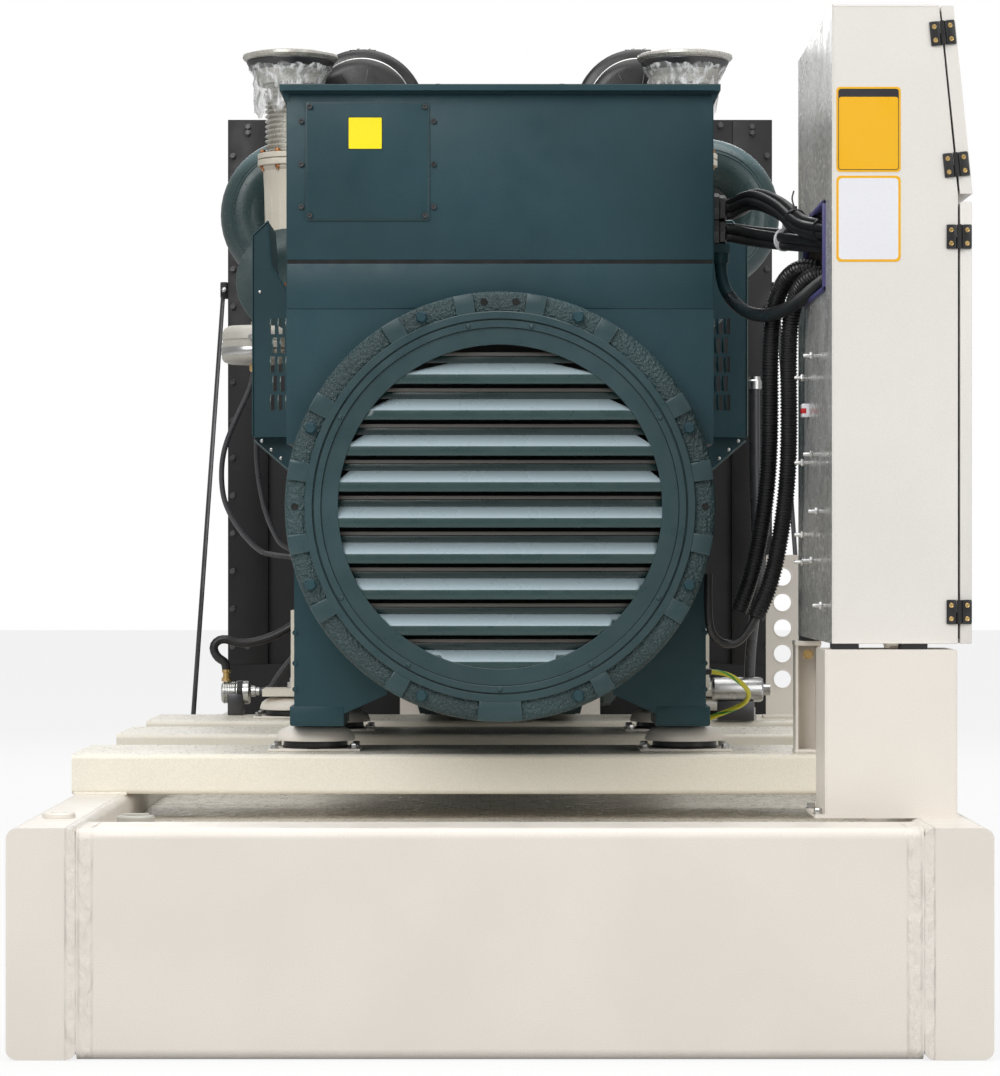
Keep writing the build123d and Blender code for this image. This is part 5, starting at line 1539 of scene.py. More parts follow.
@dataclass
class Engine(Assembly):
    """The engine's covers, bolts, injection pipes, filters, belt drive and starter."""

    shaft: float = SHAFT
    lean: float = 30.0
    first: float = -37.5
    pitch: float = 290.0
    heads: int = 6

    def bank(self, side: int, y: float, along: float, across: float, spin: float = 0.0) -> Matrix:
        """Gives the frame of a point on a bank, its Z along the bank's axis.

        Args:
            side: The bank's side.
            y: Its Y.
            along: Its distance from the shaft along the bank.
            across: Its distance across the bank, outwards.
            spin: Its turn about its own Z, in degrees.

        Returns:
            The frame.
        """
        turn = radians(self.lean)
        x = along * sin(turn) + across * cos(turn)
        z = along * cos(turn) - across * sin(turn)
        return (shift(side * x, y, self.shaft + z) @ Matrix.Rotation(side * turn, 4, "Y")
                @ turned(spin))

    def covers(self) -> None:
        """Makes the valve covers' lids, gaskets and bolts, and each head's nozzle and pipe."""
        piece = Piece("valve_covers")
        small, large = [], []
        for side in (-1, 1):
            for number in range(self.heads):
                y = self.first + number * self.pitch
                place = self.bank(side, y, 760, 0)
                piece.box((-118, -118, -81), (118, 118, -76), PLASTIC, 1, place)
                piece.box((-111, -111, -1), (111, 111, 3.5), BLOCK, 1.6, place)
                piece.box((-70, -8, 3), (70, 8, 9), BLOCK, 3, place)
                piece.lathe(place @ shift(0, 60, 3), [(20, 0), (20, 9), (17, 12), (0, 12)], BLOCK, 20)
                small += [place @ shift(u, v, 3.5) for u in (-96, 96) for v in (-96, 0, 96)]
                large += [self.bank(side, y + v, 680, 135 * u) for u in (-0.86, 0.86) for v in (-122, 122)]
                start, end = place @ Vector((-132, 40, -30)), self.bank(side, y, 600,
                                                                        -170) @ Vector((0, 30, 0))
                piece.tube([tuple(start), tuple((start + end) / 2 + Vector((0, 18, 20))), tuple(end)], 6,
                           STEEL, 8, 5)
        piece.build("green_paint")
        self.shop.repeat("valve_cover_bolts", "hex_bolt", 14, small, STEEL)
        self.shop.repeat("head_bolts", "hex_bolt", 22, large, BLOCK, slot="green_paint")

    def block(self) -> None:
        """Makes the block's inspection covers, oil pan flange, filters, starter and bolts."""
        piece = Piece("engine_fittings")
        bolts = []
        for side in (-1, 1):
            facing = Facing.RIGHT if side > 0 else Facing.LEFT
            for number in range(1, self.heads):
                y = self.first + number * self.pitch
                place = standing(side * 340, y, 1000, facing, 90)
                piece.sheet(rounded_box((-110, -95), (110, 95), 24), place, 12, BLOCK, bevel=3)
                bolts += [place @ shift(u, v, 12) for u in (-92, 0, 92) for v in (-78, 78)]
            piece.box((side * 340 - 8, -230, 846), (side * 340 + 8, 1630, 862), BLOCK, 2)
        for number in range(4):
            x, y = 452, 420 + number * 170
            piece.lathe(standing(x, y, 0), [(48, 905), (62, 915), (64, 930), (64, 1150), (60, 1165),
                                            (40, 1172), (40, 1196), (0, 1196)], CREAM, 32)
            piece.lathe(standing(x, y, 0), [(66, 1140), (68, 1144), (68, 1158), (60, 1162)], STEEL, 32,
                        False)
        piece.box((336, 340, 1190), (520, 1010, 1240), BLOCK, 8)
        starter = standing(-430, -215, 985, Facing.REAR)
        piece.lathe(starter, [(0, 4), (70, 4), (78, 12), (78, 70), (62, 84), (62, 290), (56, 300), (0, 300)],
                    DARK_STEEL, 32)
        piece.lathe(starter @ shift(0, 92, 0), [(0, 60), (34, 60), (38, 66), (38, 210), (0, 214)],
                    DARK_STEEL, 24)
        piece.build("green_paint")
        for x, z in ((0, 860), (-220, 860), (220, 860), (-370, 1180), (370, 1180), (-370, 1380), (370, 1380),
                     (-200, 1490), (200, 1490), (0, 1490)):
            bolts.append(standing(x, 1750, z, Facing.REAR))
        bolts += [standing(200 * cos(turn) * 0.8, 1810, self.shaft + 160 * sin(turn), Facing.REAR)
                  for turn in (pi * index / 4 for index in range(8))]
        self.shop.repeat("block_bolts", "hex_bolt", 18, bolts, BLOCK, slot="green_paint")

    def drive(self) -> None:
        """Makes the fan's belt pulleys on the gear cover."""
        piece = Piece("fan_drive")
        for x, z, radius in ((0, 1400, 110), (0, self.shaft, 150), (250, 1330, 60)):
            groove = [(0, 4)]
            for number in range(4):
                y = 10 + number * 14
                groove += [(radius, y), (radius, y + 3), (radius - 9, y + 6), (radius - 9, y + 8),
                           (radius, y + 11)]
            place = standing(x, 1750 if z != self.shaft else 1810.5, z, Facing.REAR)
            piece.lathe(place, [*groove, (radius, 70), (radius - 6, 74), (0, 74)] if z != self.shaft else
                        [(0, 1), (radius, 1), (radius, 22), (radius - 8, 26), (0, 26)], DARK_STEEL, 40)
        piece.build("black_paint")

    def build(self) -> None:
        """Makes all of it."""
        self.covers()
        self.block()
        self.drive()


@dataclass
class Exhaust(Assembly):
    """The risers, flexible joints and film-wrapped flared outlets."""

    y: float = 285.0
    pipes: tuple[float, ...] = (-607.0, 535.0)
    joint: float = 2136.0
    outlet: float = 2375.0

    def joints(self) -> None:
        """Makes the smooth bellows, their flanges and the flared outlets under their film."""
        for name, x in (("left", self.pipes[0]), ("right", self.pipes[1])):
            piece = Piece(f"flexible_joint_{name}")
            place = standing(x, self.y, 0)
            profile = [(62, self.joint + 36)]
            pitch = (self.outlet - self.joint - 36) / 14
            for number in range(14):
                low = self.joint + 36 + number * pitch
                profile += [(63, low), (64, low + 0.10 * pitch), (71, low + 0.28 * pitch),
                            (74, low + 0.5 * pitch), (71, low + 0.72 * pitch), (64, low + 0.90 * pitch)]
            piece.lathe(place, [*profile, (62, self.outlet)], BELLOWS, 48)
            for low, high in ((self.joint, self.joint + 16), (self.joint + 20, self.joint + 36)):
                piece.lathe(place, [(60, low), (93, low), (95, low + 2), (95, high - 2), (93, high),
                                    (60, high)], RISER, 48)
            piece.lathe(place, [(89, self.joint + 16), (89, self.joint + 20), (60, self.joint + 20)],
                        DARK_STEEL, 48)
            wall = [(60, self.outlet - 4), (92, self.outlet - 4), (96, self.outlet + 2),
                    (96, self.outlet + 9), (104, self.outlet + 22), (124, self.outlet + 60),
                    (127, self.outlet + 67), (134, self.outlet + 69), (138.5, self.outlet + 75),
                    (137, self.outlet + 82), (131, self.outlet + 85), (125, self.outlet + 82),
                    (118, self.outlet + 56), (96, self.outlet + 20), (84, self.outlet + 10),
                    (0, self.outlet + 8)]
            piece.lathe(place, wall, BELLOWS, 72)
            # A dark band inside the flare under the rim: painted shade of the roll.
            piece.lathe(place, [(112, self.outlet + 36), (116.5, self.outlet + 41),
                                (127.5, self.outlet + 62), (126.5, self.outlet + 66)], DARK_STEEL, 72)
            piece.build("bellows_steel", [f"exhaust_bellows_{name}"])

    def film(self, x: float, name: str, seed: int) -> None:
        """Winds crinkled film round an outlet and lets it hang ragged below.

        Args:
            x: The outlet's X.
            name: The outlet's side.
            seed: Where its folds are read.
        """
        piece = Piece(f"outlet_film_{name}")
        rings = []
        sides = 150
        levels = [(117, 2437), (121, 2428), (118, 2415), (110, 2403), (103, 2392), (98, 2380), (95, 2366),
                  (94, 2350), (94, 2334), (93, 2318), (93, 2300)]
        for row, (radius, z) in enumerate(levels):
            ring = []
            for index in range(sides):
                turn = 2 * pi * index / sides
                fold = noise.noise(Vector((5 * cos(turn) + seed, 5 * sin(turn), z / 34)))
                fine = noise.noise(Vector((17 * cos(turn), 17 * sin(turn) + seed, z / 13)))
                hang = max(0, row - 5) * 11 * (noise.noise(Vector((2.2 * cos(turn), 2.2 * sin(turn), seed))))
                loose = 0.5 if row < 2 else 1.1
                hang -= max(0, row - 4) * 3 * max(0.0, -cos(turn))
                wide = radius + loose * (4.5 * fold + 2.4 * fine) + 11 * max(0.0, -cos(turn)) * (row > 4)
                wide = min(wide, 140)
                ring.append(Vector((x + wide * cos(turn), self.y + wide * sin(turn), min(z + hang, 2466)
                                    + 2 * fine * loose)))
            rings.append(ring)
        piece.loft(rings, FILM, caps=False)
        made = piece.build("bellows_steel")
        walled = made.modifiers.new("Wall", "SOLIDIFY")
        walled.thickness = 0.0006
        walled.offset = -1.0

    def risers(self) -> None:
        """Makes the tapered pipes that rise from the turbochargers, and the turbochargers' shells."""
        piece = Piece("exhaust_risers")
        for x in self.pipes:
            place = standing(x, self.y, 0)
            piece.lathe(place, [(70, 1930), (72, 1950), (73.5, 2000), (76, 2060), (79, 2122), (86, 2130),
                                (86, 2136.5)], RISER, 48)
            front = upright(x, self.y, 1800)
            piece.lathe(front, [(0, 76), (60, 76.4), (70, 82), (96, 86), (110, 82), (132, 76.5), (151, 75),
                                (153, 60), (153, 48), (151, 44)], BLOCK, 48)
            piece.lathe(front, [(150.5, 30), (155, 28), (155, 10), (150.5, 8)], BLOCK, 48)
        piece.build("green_paint")

    def build(self) -> None:
        """Makes all of it."""
        self.joints()
        self.risers()
        for index, (name, x) in enumerate((("left", self.pipes[0]), ("right", self.pipes[1]))):
            self.film(x, name, 4 + 9 * index)
        spots = []
        for x in self.pipes:
            spots += [standing(x + 84 * cos(turn), self.y + 84 * sin(turn), self.joint + 36)
                      for turn in (pi * (index + 0.5) / 4 for index in range(8))]
        self.shop.repeat("flange_bolts", "hex_bolt", 14, spots, COPPER)
        self.shop.repeat("flange_nuts", "nut", 8.5, [spot @ shift(0, 0, -36) @ Matrix.Rotation(pi, 4, "X")
                                                for spot in spots], COPPER)


@dataclass
class AirSide(Assembly):
    """The air cleaners, the charge air pipes with their clamps and seams, and the breather can."""

    x: float = 408.0
    z: float = 2326.0
    front: float = 500.0
    length: float = 460.0

    def cleaners(self) -> None:
        """Makes the air cleaners with their end caps, ribs, straps and clips."""
        piece = Piece("air_cleaner_shells")
        for side in (-1, 1):
            place = standing(side * self.x, self.front, self.z, Facing.REAR)
            body = [(0, -59), (120, -59.5), (140, -56), (149, -48), (150, -40), (150, -4), (160, -2),
                    (176, 0), (184, 6), (186.5, 14)]
            for number in range(6):
                low = 40 + number * 62
                body += [(186.5, low), (183.5, low + 4), (183.5, low + 10), (186.5, low + 14)]
            body += [(186.5, self.length - 20), (184, self.length - 6), (176, self.length),
                     (70, self.length), (60, self.length - 12), (0, self.length - 12)]
            piece.lathe(place, body, PLASTIC, 72)
            piece.lathe(place, [(150.4, -38), (153, -36), (153, -14), (150.4, -12)], STEEL, 64)
            for level in (130, 330):
                piece.lathe(place, [(186.7, level), (188.5, level + 1), (188.5, level + 21),
                                    (186.7, level + 22)], STEEL, 72)
            for number in range(9):
                turn = place @ Matrix.Rotation(2 * pi * number / 9, 4, "Z")
                piece.box((30, -3, -60.5), (118, 3, -56), PLASTIC, 1.5, turn)
        piece.build("black_rubber", ["air_cleaners"])
        spots = [upright(side * self.x, self.front - 59.4, self.z) for side in (-1, 1)]
        self.shop.repeat("air_cleaner_knobs", "knob", 40, spots, PLASTIC)

    def clamps(self) -> None:
        """Makes the clamps with their screws on the charge air pipes and on top of the air cleaners."""
        piece = Piece("pipe_clamps")
        for side in (-1, 1):
            place = standing(side * 575, 600, 2188, Facing.RIGHT)
            piece.lathe(place, [(69.6, -11), (72.5, -10), (72.5, 10), (69.6, 11)], STEEL, 48)
            piece.box((side * 575 - 9, 574, 2258), (side * 575 + 9, 626, 2276), STEEL, 3)
            piece.tube([(side * 575, 560, 2268), (side * 575, 640, 2268)], 4, STEEL, 10, 1)
            x = side * self.x
            piece.box((x - 26, self.front + 12, 2508), (x - 8, self.front + 34, 2515.8), STEEL, 2)
            piece.box((x + 8, self.front + 12, 2508), (x + 26, self.front + 34, 2515.8), STEEL, 2)
            piece.tube([(x - 38, self.front + 23, 2512), (x + 40, self.front + 23, 2512)], 3.4, STEEL, 10, 1)
        piece.build("bellows_steel")

    def pipes(self) -> None:
        """Makes the charge air pipes as smooth bends with a double seam."""
        piece = Piece("charge_pipes")
        for side in (-1, 1):
            x0, x1 = side * 560, side * 766
            end = -607 + 20 if side < 0 else 535 - 20
            route = [(x0, 2188)]
            for centre, start, finish in (((x1 - side * 160, 2028), 90, 0),
                                          ((x1 - side * 160, 2028), 0, -90)):
                for step in range(13):
                    turn = radians(start + (finish - start) * step / 12)
                    route.append((centre[0] + side * 160 * cos(turn), centre[1] + 160 * sin(turn)))
            route.append((end, 1868))
            clean = [route[0]]
            for point in route[1:]:
                if dist(point, clean[-1]) > 1:
                    clean.append(point)
            piece.tube([(x, 600, z) for x, z in clean], 69.0, PIPE, 48, 1)
            centre = Vector((x1 - side * 160, 600, 2028))
            for turn in (radians(20), radians(28)):
                bead = []
                for x, z in clean[1:-1]:
                    out = (Vector((x, 600, z)) - centre).normalized()
                    bead.append(tuple(Vector((x, 600, z)) + 68.4 * (sin(turn) * out
                                                                    - cos(turn) * Vector((0, 1, 0)))))
                piece.tube(bead, 2.4, PIPE, 8, 1)
        piece.build("green_paint", ["charge_air_pipes"])

    def can(self) -> None:
        """Makes the breather can with its rolled seam, strap and bolt."""
        piece = Piece("breather")
        place = standing(-692, 0, 1548)
        piece.lathe(place, [(0, 0.4), (70, 0.6), (84, 6), (89, 14), (90, 18), (90, 60), (87.6, 62),
                            (87.6, 66), (90, 68), (89.4, 84), (84, 98), (72, 106), (40, 108.5), (0, 109)],
                    CAN, 56)
        piece.lathe(place, [(90.2, 24), (91.6, 26), (91.6, 44), (90.2, 46)], STEEL, 56)
        piece.box((-690, -44, 1619.2), (-560, 44, 1629), CAN, 1.5)
        piece.build("cream_paint", ["breather_can"])
        self.shop.repeat("breather_bolts", "hex_bolt", 15,
                         [upright(-692, -88.4, 1620), standing(-692, 0, 1656.6)], STEEL)

    def build(self) -> None:
        """Makes all of it."""
        self.cleaners()
        self.clamps()
        self.pipes()
        self.can()


@dataclass
class Cooling(Assembly):
    """The radiator's frame edges, bolts, fins, fan guard and stay clamps."""

    front: float = 2147.0
    rear: float = 2500.0
    half: float = 937.0
    post: float = 800.0
    top: float = 2515.0

    def frame(self) -> None:
        """Makes the frame's plates, flanges and bolts."""
        piece = Piece("radiator_frame")
        for side in (-1, 1):
            low, high = sorted((side * (self.post + 2), side * (self.half - 2)))
            piece.box((low, self.front - 3, 640), (high, self.front + 3, self.top - 3), BLACK, 2)
            piece.box((low + 8, self.rear - 3, 480), (high - 8, self.rear, self.top - 20), BLACK, 1.5)
        piece.box((-self.post, self.front - 3, 2303), (self.post, self.front + 3, self.top - 3), BLACK, 2)
        piece.box((-self.post + 3, self.rear - 3, 2306), (self.post - 3, self.rear, self.top - 6), BLACK,
                  1.5)
        piece.box((-self.post + 3, self.rear - 3, 466), (self.post - 3, self.rear, 636), BLACK, 1.5)
        piece.build("black_paint")
        spots = []
        for side in (-1, 1):
            for z in [700 + index * 130 for index in range(14)]:
                spots.append(upright(side * 920, self.front - 3, z))
                spots.append(standing(side * 868, self.rear, z, Facing.REAR))
            spots += [upright(side * 868, self.front - 3, z) for z in (2490, 2470, 700)]
        spots += [upright(x, self.front - 3, z) for x in range(-760, 761, 152) for z in (2325, 2495)]
        spots += [standing(x, self.rear - 0.2, z, Facing.REAR) for x in range(-760, 761, 152)
                  for z in (2325, 2490, 480, 620)]
        self.shop.repeat("radiator_bolts", "hex_bolt", 17, spots, DARK_STEEL, slot="black_paint")

    def fins(self) -> None:
        """Makes the core's tubes and fins on both faces."""
        piece = Piece("radiator_tubes")
        drawn = bmesh.new()
        for face in (self.front + 44.5, self.rear - 44.5):
            for number in range(105):
                x = -790 + number * 15.2
                middle = Vector((x, face, (640 + 2300) / 2))
                bmesh.ops.create_cube(drawn, size=1.0, matrix=Matrix.Translation(middle)
                                      @ Matrix.Diagonal((3.2, 7, 1656, 1)))
        piece.take(drawn, CORE, smooth=False)
        drawn = bmesh.new()
        for number in range(138):
            z = 646 + number * 12
            bmesh.ops.create_cube(drawn, size=1.0, matrix=shift(0, self.rear - 44.5, z)
                                  @ Matrix.Diagonal((1590, 5, 1.6, 1)))
        piece.take(drawn, CORE, smooth=False)
        piece.build("black_paint")

    def guard(self) -> None:
        """Makes the wire guard in front of the fan."""
        piece = Piece("fan_guard")
        y, z = 2034, 1400
        for radius in range(120, 711, 59):
            ring = [Vector((radius * cos(turn), y, z + radius * sin(turn)))
                    for turn in (2 * pi * index / 72 for index in range(72))]
            rings = []
            for point in ring:
                out = (point - Vector((0, y, z))).normalized()
                rings.append([point + 2.6 * (cos(turn) * out + sin(turn) * Vector((0, 1, 0)))
                              for turn in (2 * pi * index / 6 for index in range(6))])
            piece.loft(rings, BLACK, closed=True)
        for number in range(12):
            turn = 2 * pi * (number + 0.5) / 12
            piece.tube([(118 * cos(turn), y + 4, z + 118 * sin(turn)),
                        (712 * cos(turn), y + 4, z + 712 * sin(turn))], 3.4, BLACK, 6, 1)
        piece.build("black_paint")

    def clamps(self) -> None:
        """Makes the clamp of each stay rod and its turned end."""
        piece = Piece("stay_clamps")
        for side in (-1, 1):
            x = side * 951
            piece.box((x - 14, 2162, 1902), (x + 12, 2214, 1958), BLACK, 4)
            piece.lathe(upright(side * 951, 2160, 1930), [(9, 0), (9, 10), (6, 12), (0, 12)], STEEL, 6)
        piece.build("black_paint")

    def build(self) -> None:
        """Makes all of it."""
        self.frame()
        self.fins()
        self.guard()
        self.clamps()


@dataclass
class Cabinet(Assembly):
    """The cabinet's trim, hinge screws, studs, blank plates, seals and door furniture."""

    back: float = 691.0
    near: float = -2490.0
    far: float = -1690.0
    bottom: float = 822.0
    top: float = 2152.0
    fold: float = 1759.0
    lean: float = 40.0

    def seals(self) -> None:
        """Makes the dark seals between the doors and the cabinet, and the folded edges of its end face."""
        piece = Piece("cabinet_seals")
        y = self.near + 10
        reach = self.lean * (2146 - self.fold) / (2150 - self.fold)
        piece.tube([(DOOR_FACE, y, 832), (DOOR_FACE, y, 1735)], 2.2, RUBBER, 8, 1)
        piece.tube([(DOOR_FACE, y, 1766), (DOOR_FACE - reach, y, 2140)], 2.2, RUBBER, 8, 1)
        piece.tube([(DOOR_FACE, self.far - 10, 832), (DOOR_FACE, self.far - 10, 1735)], 2.2, RUBBER, 8, 1)
        piece.build("black_rubber")
        edge = Piece("cabinet_edges")
        outline = [(self.back + 2, self.bottom + 2), (951, self.bottom + 2), (951, self.fold),
                   (912, self.top - 3), (self.back + 2, self.top - 3)]
        for index in range(len(outline)):
            (x0, z0), (x1, z1) = outline[index - 1], outline[index]
            edge.tube([(x0, self.near + 1.2, z0), (x1, self.near + 1.2, z1)], 2.2, CABINET, 8, 1)
        edge.build("cabinet_paint")

    def hinges(self) -> None:
        """Makes the hinges' moulded leaves over their solids, and their screws."""
        tilt = atan2(self.lean, 2150 - self.fold)
        spots: dict[str, list[Matrix]] = {"set": [], "upper_door": [], "lower_door": []}
        leaves = {body: Piece(f"hinge_covers_{body}", body) for body in spots}
        for z, door in ((1819, "upper_door"), (2093, "upper_door"), (888, "lower_door"),
                        (1669, "lower_door")):
            x = 955.5 - max(0.0, z - self.fold) * self.lean / (2150 - self.fold)
            turn = -tilt if door == "upper_door" else 0.0
            place = (shift(x, self.near, z) @ Matrix.Rotation(turn, 4, "Y")
                     @ upright(0, 0, 0))
            for side, body in ((-1, "set"), (1, door)):
                low, high = sorted((side * 6.2, side * 26.4))
                leaves[body].sheet(rounded_box((low, -25.4), (high, 25.4), 4), place @ shift(0, 0, 0.4), 4.6,
                                   PLASTIC, bevel=1.4)
                spots[body] += [place @ shift(side * 16.5, level, 5.0) for level in (-14, 14)]
        for body, piece in leaves.items():
            piece.build("black_hinge")
            name = "hinge_screws" if body == "set" else f"hinge_screws_{body}"
            self.shop.repeat(name, "ring_screw", 10, spots[body], BRASS, body)

    def trim(self) -> None:
        """Makes the dark trim round the cables' opening."""
        piece = Piece("opening_trim")
        x = self.back - 1
        corners = [(-2347, 1573), (-2347, 1756), (-1890, 1756), (-1890, 1573)]
        for index in range(4):
            (y0, z0), (y1, z1) = corners[index - 1], corners[index]
            piece.box((x - 6, min(y0, y1) - 5, min(z0, z1) - 5), (x + 7, max(y0, y1) + 5, max(z0, z1) + 5),
                      TRIM, 2.5)
        piece.build("black_rubber")

    def plates(self) -> None:
        """Makes the two blank plates on the end face."""
        piece = Piece("end_face_plates")
        y = self.near - 0.1
        cards = (((700, 1804), (834, 1981), 8, 0.0, 0.7, YELLOW),
                 ((704, 1808), (830, 1977), 6, 0.4, 0.6, INK),
                 ((705.4, 1809.4), (828.6, 1960), 5, 0.6, 0.6, YELLOW),
                 ((700, 1617), (834, 1796), 10, 0.0, 0.7, YELLOW),
                 ((705, 1622), (829, 1791), 8, 0.4, 0.6, WHITE))
        for low, high, radius, lift, thick, finish in cards:
            piece.sheet(rounded_box(low, high, radius), upright(0, y - lift, 0), thick, finish)
        piece.build("cabinet_paint")

    def studs(self) -> None:
        """Makes the screws that stand out of the back wall and the white and red marker on it."""
        spots = [standing(self.back, y, z, Facing.LEFT)
                 for y, z in ((-2180, 1440), (-1960, 1404), (-2180, 1226), (-1960, 1214), (-1960, 1053),
                              (-2180, 995), (-1960, 992), (-2300, 1100), (-2400, 900))]
        self.shop.repeat("back_wall_studs", "stud", 9, spots, STEEL)
        piece = Piece("back_wall_marker")
        piece.box((self.back - 16, -1966, 1316), (self.back + 0.5, -1930, 1346), WHITE, 2)
        piece.box((self.back - 17, -1967, 1324), (self.back - 6, -1929, 1336), RED, 1.5)
        piece.build("cabinet_paint")

    def doors(self) -> None:
        """Makes the doors' frames, lock, window, gauges and knobs."""
        lower = Piece("lower_door_shell", "lower_door")
        lower.box((958, self.near, self.bottom), (982.4, self.far, 1742), CABINET, 2.8)
        lower.box((980, self.near + 24, 846), (983.4, self.far - 24, 1718), CABINET, 1.2)
        lower.box((981, -1764, 1240), (983.7, -1718, 1400), PLASTIC, 1.2)
        lower.box((982, -1752, 1256), (984, -1730, 1384), DARK_STEEL, 0.8)
        lower.build("cabinet_paint", ["lower_door"])
        upper = Piece("upper_door_fittings", "upper_door")
        tilt = atan2(self.lean, 2150 - self.fold)
        face = shift(984, 0, self.fold) @ Matrix.Rotation(-tilt, 4, "Y") @ standing(0, 0, 0, Facing.RIGHT,
                                                                                    90)
        upper.sheet(rounded_box((self.near + 20, 34), (self.far - 20, 376), 8), face, 2.4, CABINET,
                    bevel=0.8)
        upper.sheet(rounded_box((-2230, 120), (-1950, 320), 8), face @ shift(0, 0, 2.2), 4, PLASTIC,
                    bevel=1.2)
        upper.sheet(rounded_box((-2205, 150), (-1975, 300), 4), face @ shift(0, 0, 6.0), 1.2, INK)
        for y in (-2380, -1860):
            upper.lathe(face @ shift(y, 250, 2.2), [(0, 3), (36, 3), (38, 1), (40, 0.4), (40, 0),
                                                    (0, 0)][::-1], WHITE, 36)
            upper.lathe(face @ shift(y, 250, 2.2), [(38, 0.2), (42, 1), (42, 6), (38, 7), (36, 4)], PLASTIC,
                        36, True)
        for index, finish in enumerate((RED, YELLOW, INK, INK)):
            upper.lathe(face @ shift(-2180 + index * 60, 90, 2.2),
                        [(14, 0), (14, 2), (11, 3), (11, 5.4), (9, 6), (0, 6)], finish, 24)
        upper.build("cabinet_paint")

    def pedestal(self) -> None:
        """Makes the stand's bolts, the rear channels' bolt and the pads' edges."""
        spots = [standing(x, y, 470) for x in (659, 664) for y in (-2520, -2356)]
        self.shop.repeat("stand_bolts", "hex_bolt", 16, spots[:2], STEEL)
        self.shop.repeat("channel_bolts", "hex_bolt", 17, [upright(706, -1770.4, 780),
                                                      upright(916, -1770.4, 780)], BRASS)
        piece = Piece("stand_edges")
        for x in (672, 945):
            piece.tube([(x - copysign(1.5, x - 800), -2537, 474), (x - copysign(1.5, x - 800), -2537, 808)],
                       2.0, CREAM, 8, 1)
        for left in (678, 888):
            piece.box((left - 2, -1772, 800), (left + 59, -1698, 811), CREAM, 2)
            piece.box((left - 2, -1772, 554.3), (left + 59, -1698, 562), CREAM, 2)
        piece.build("cream_paint")

    def build(self) -> None:
        """Makes all of it."""
        self.seals()
        self.hinges()
        self.trim()
        self.plates()
        self.studs()
        self.doors()
        self.pedestal()


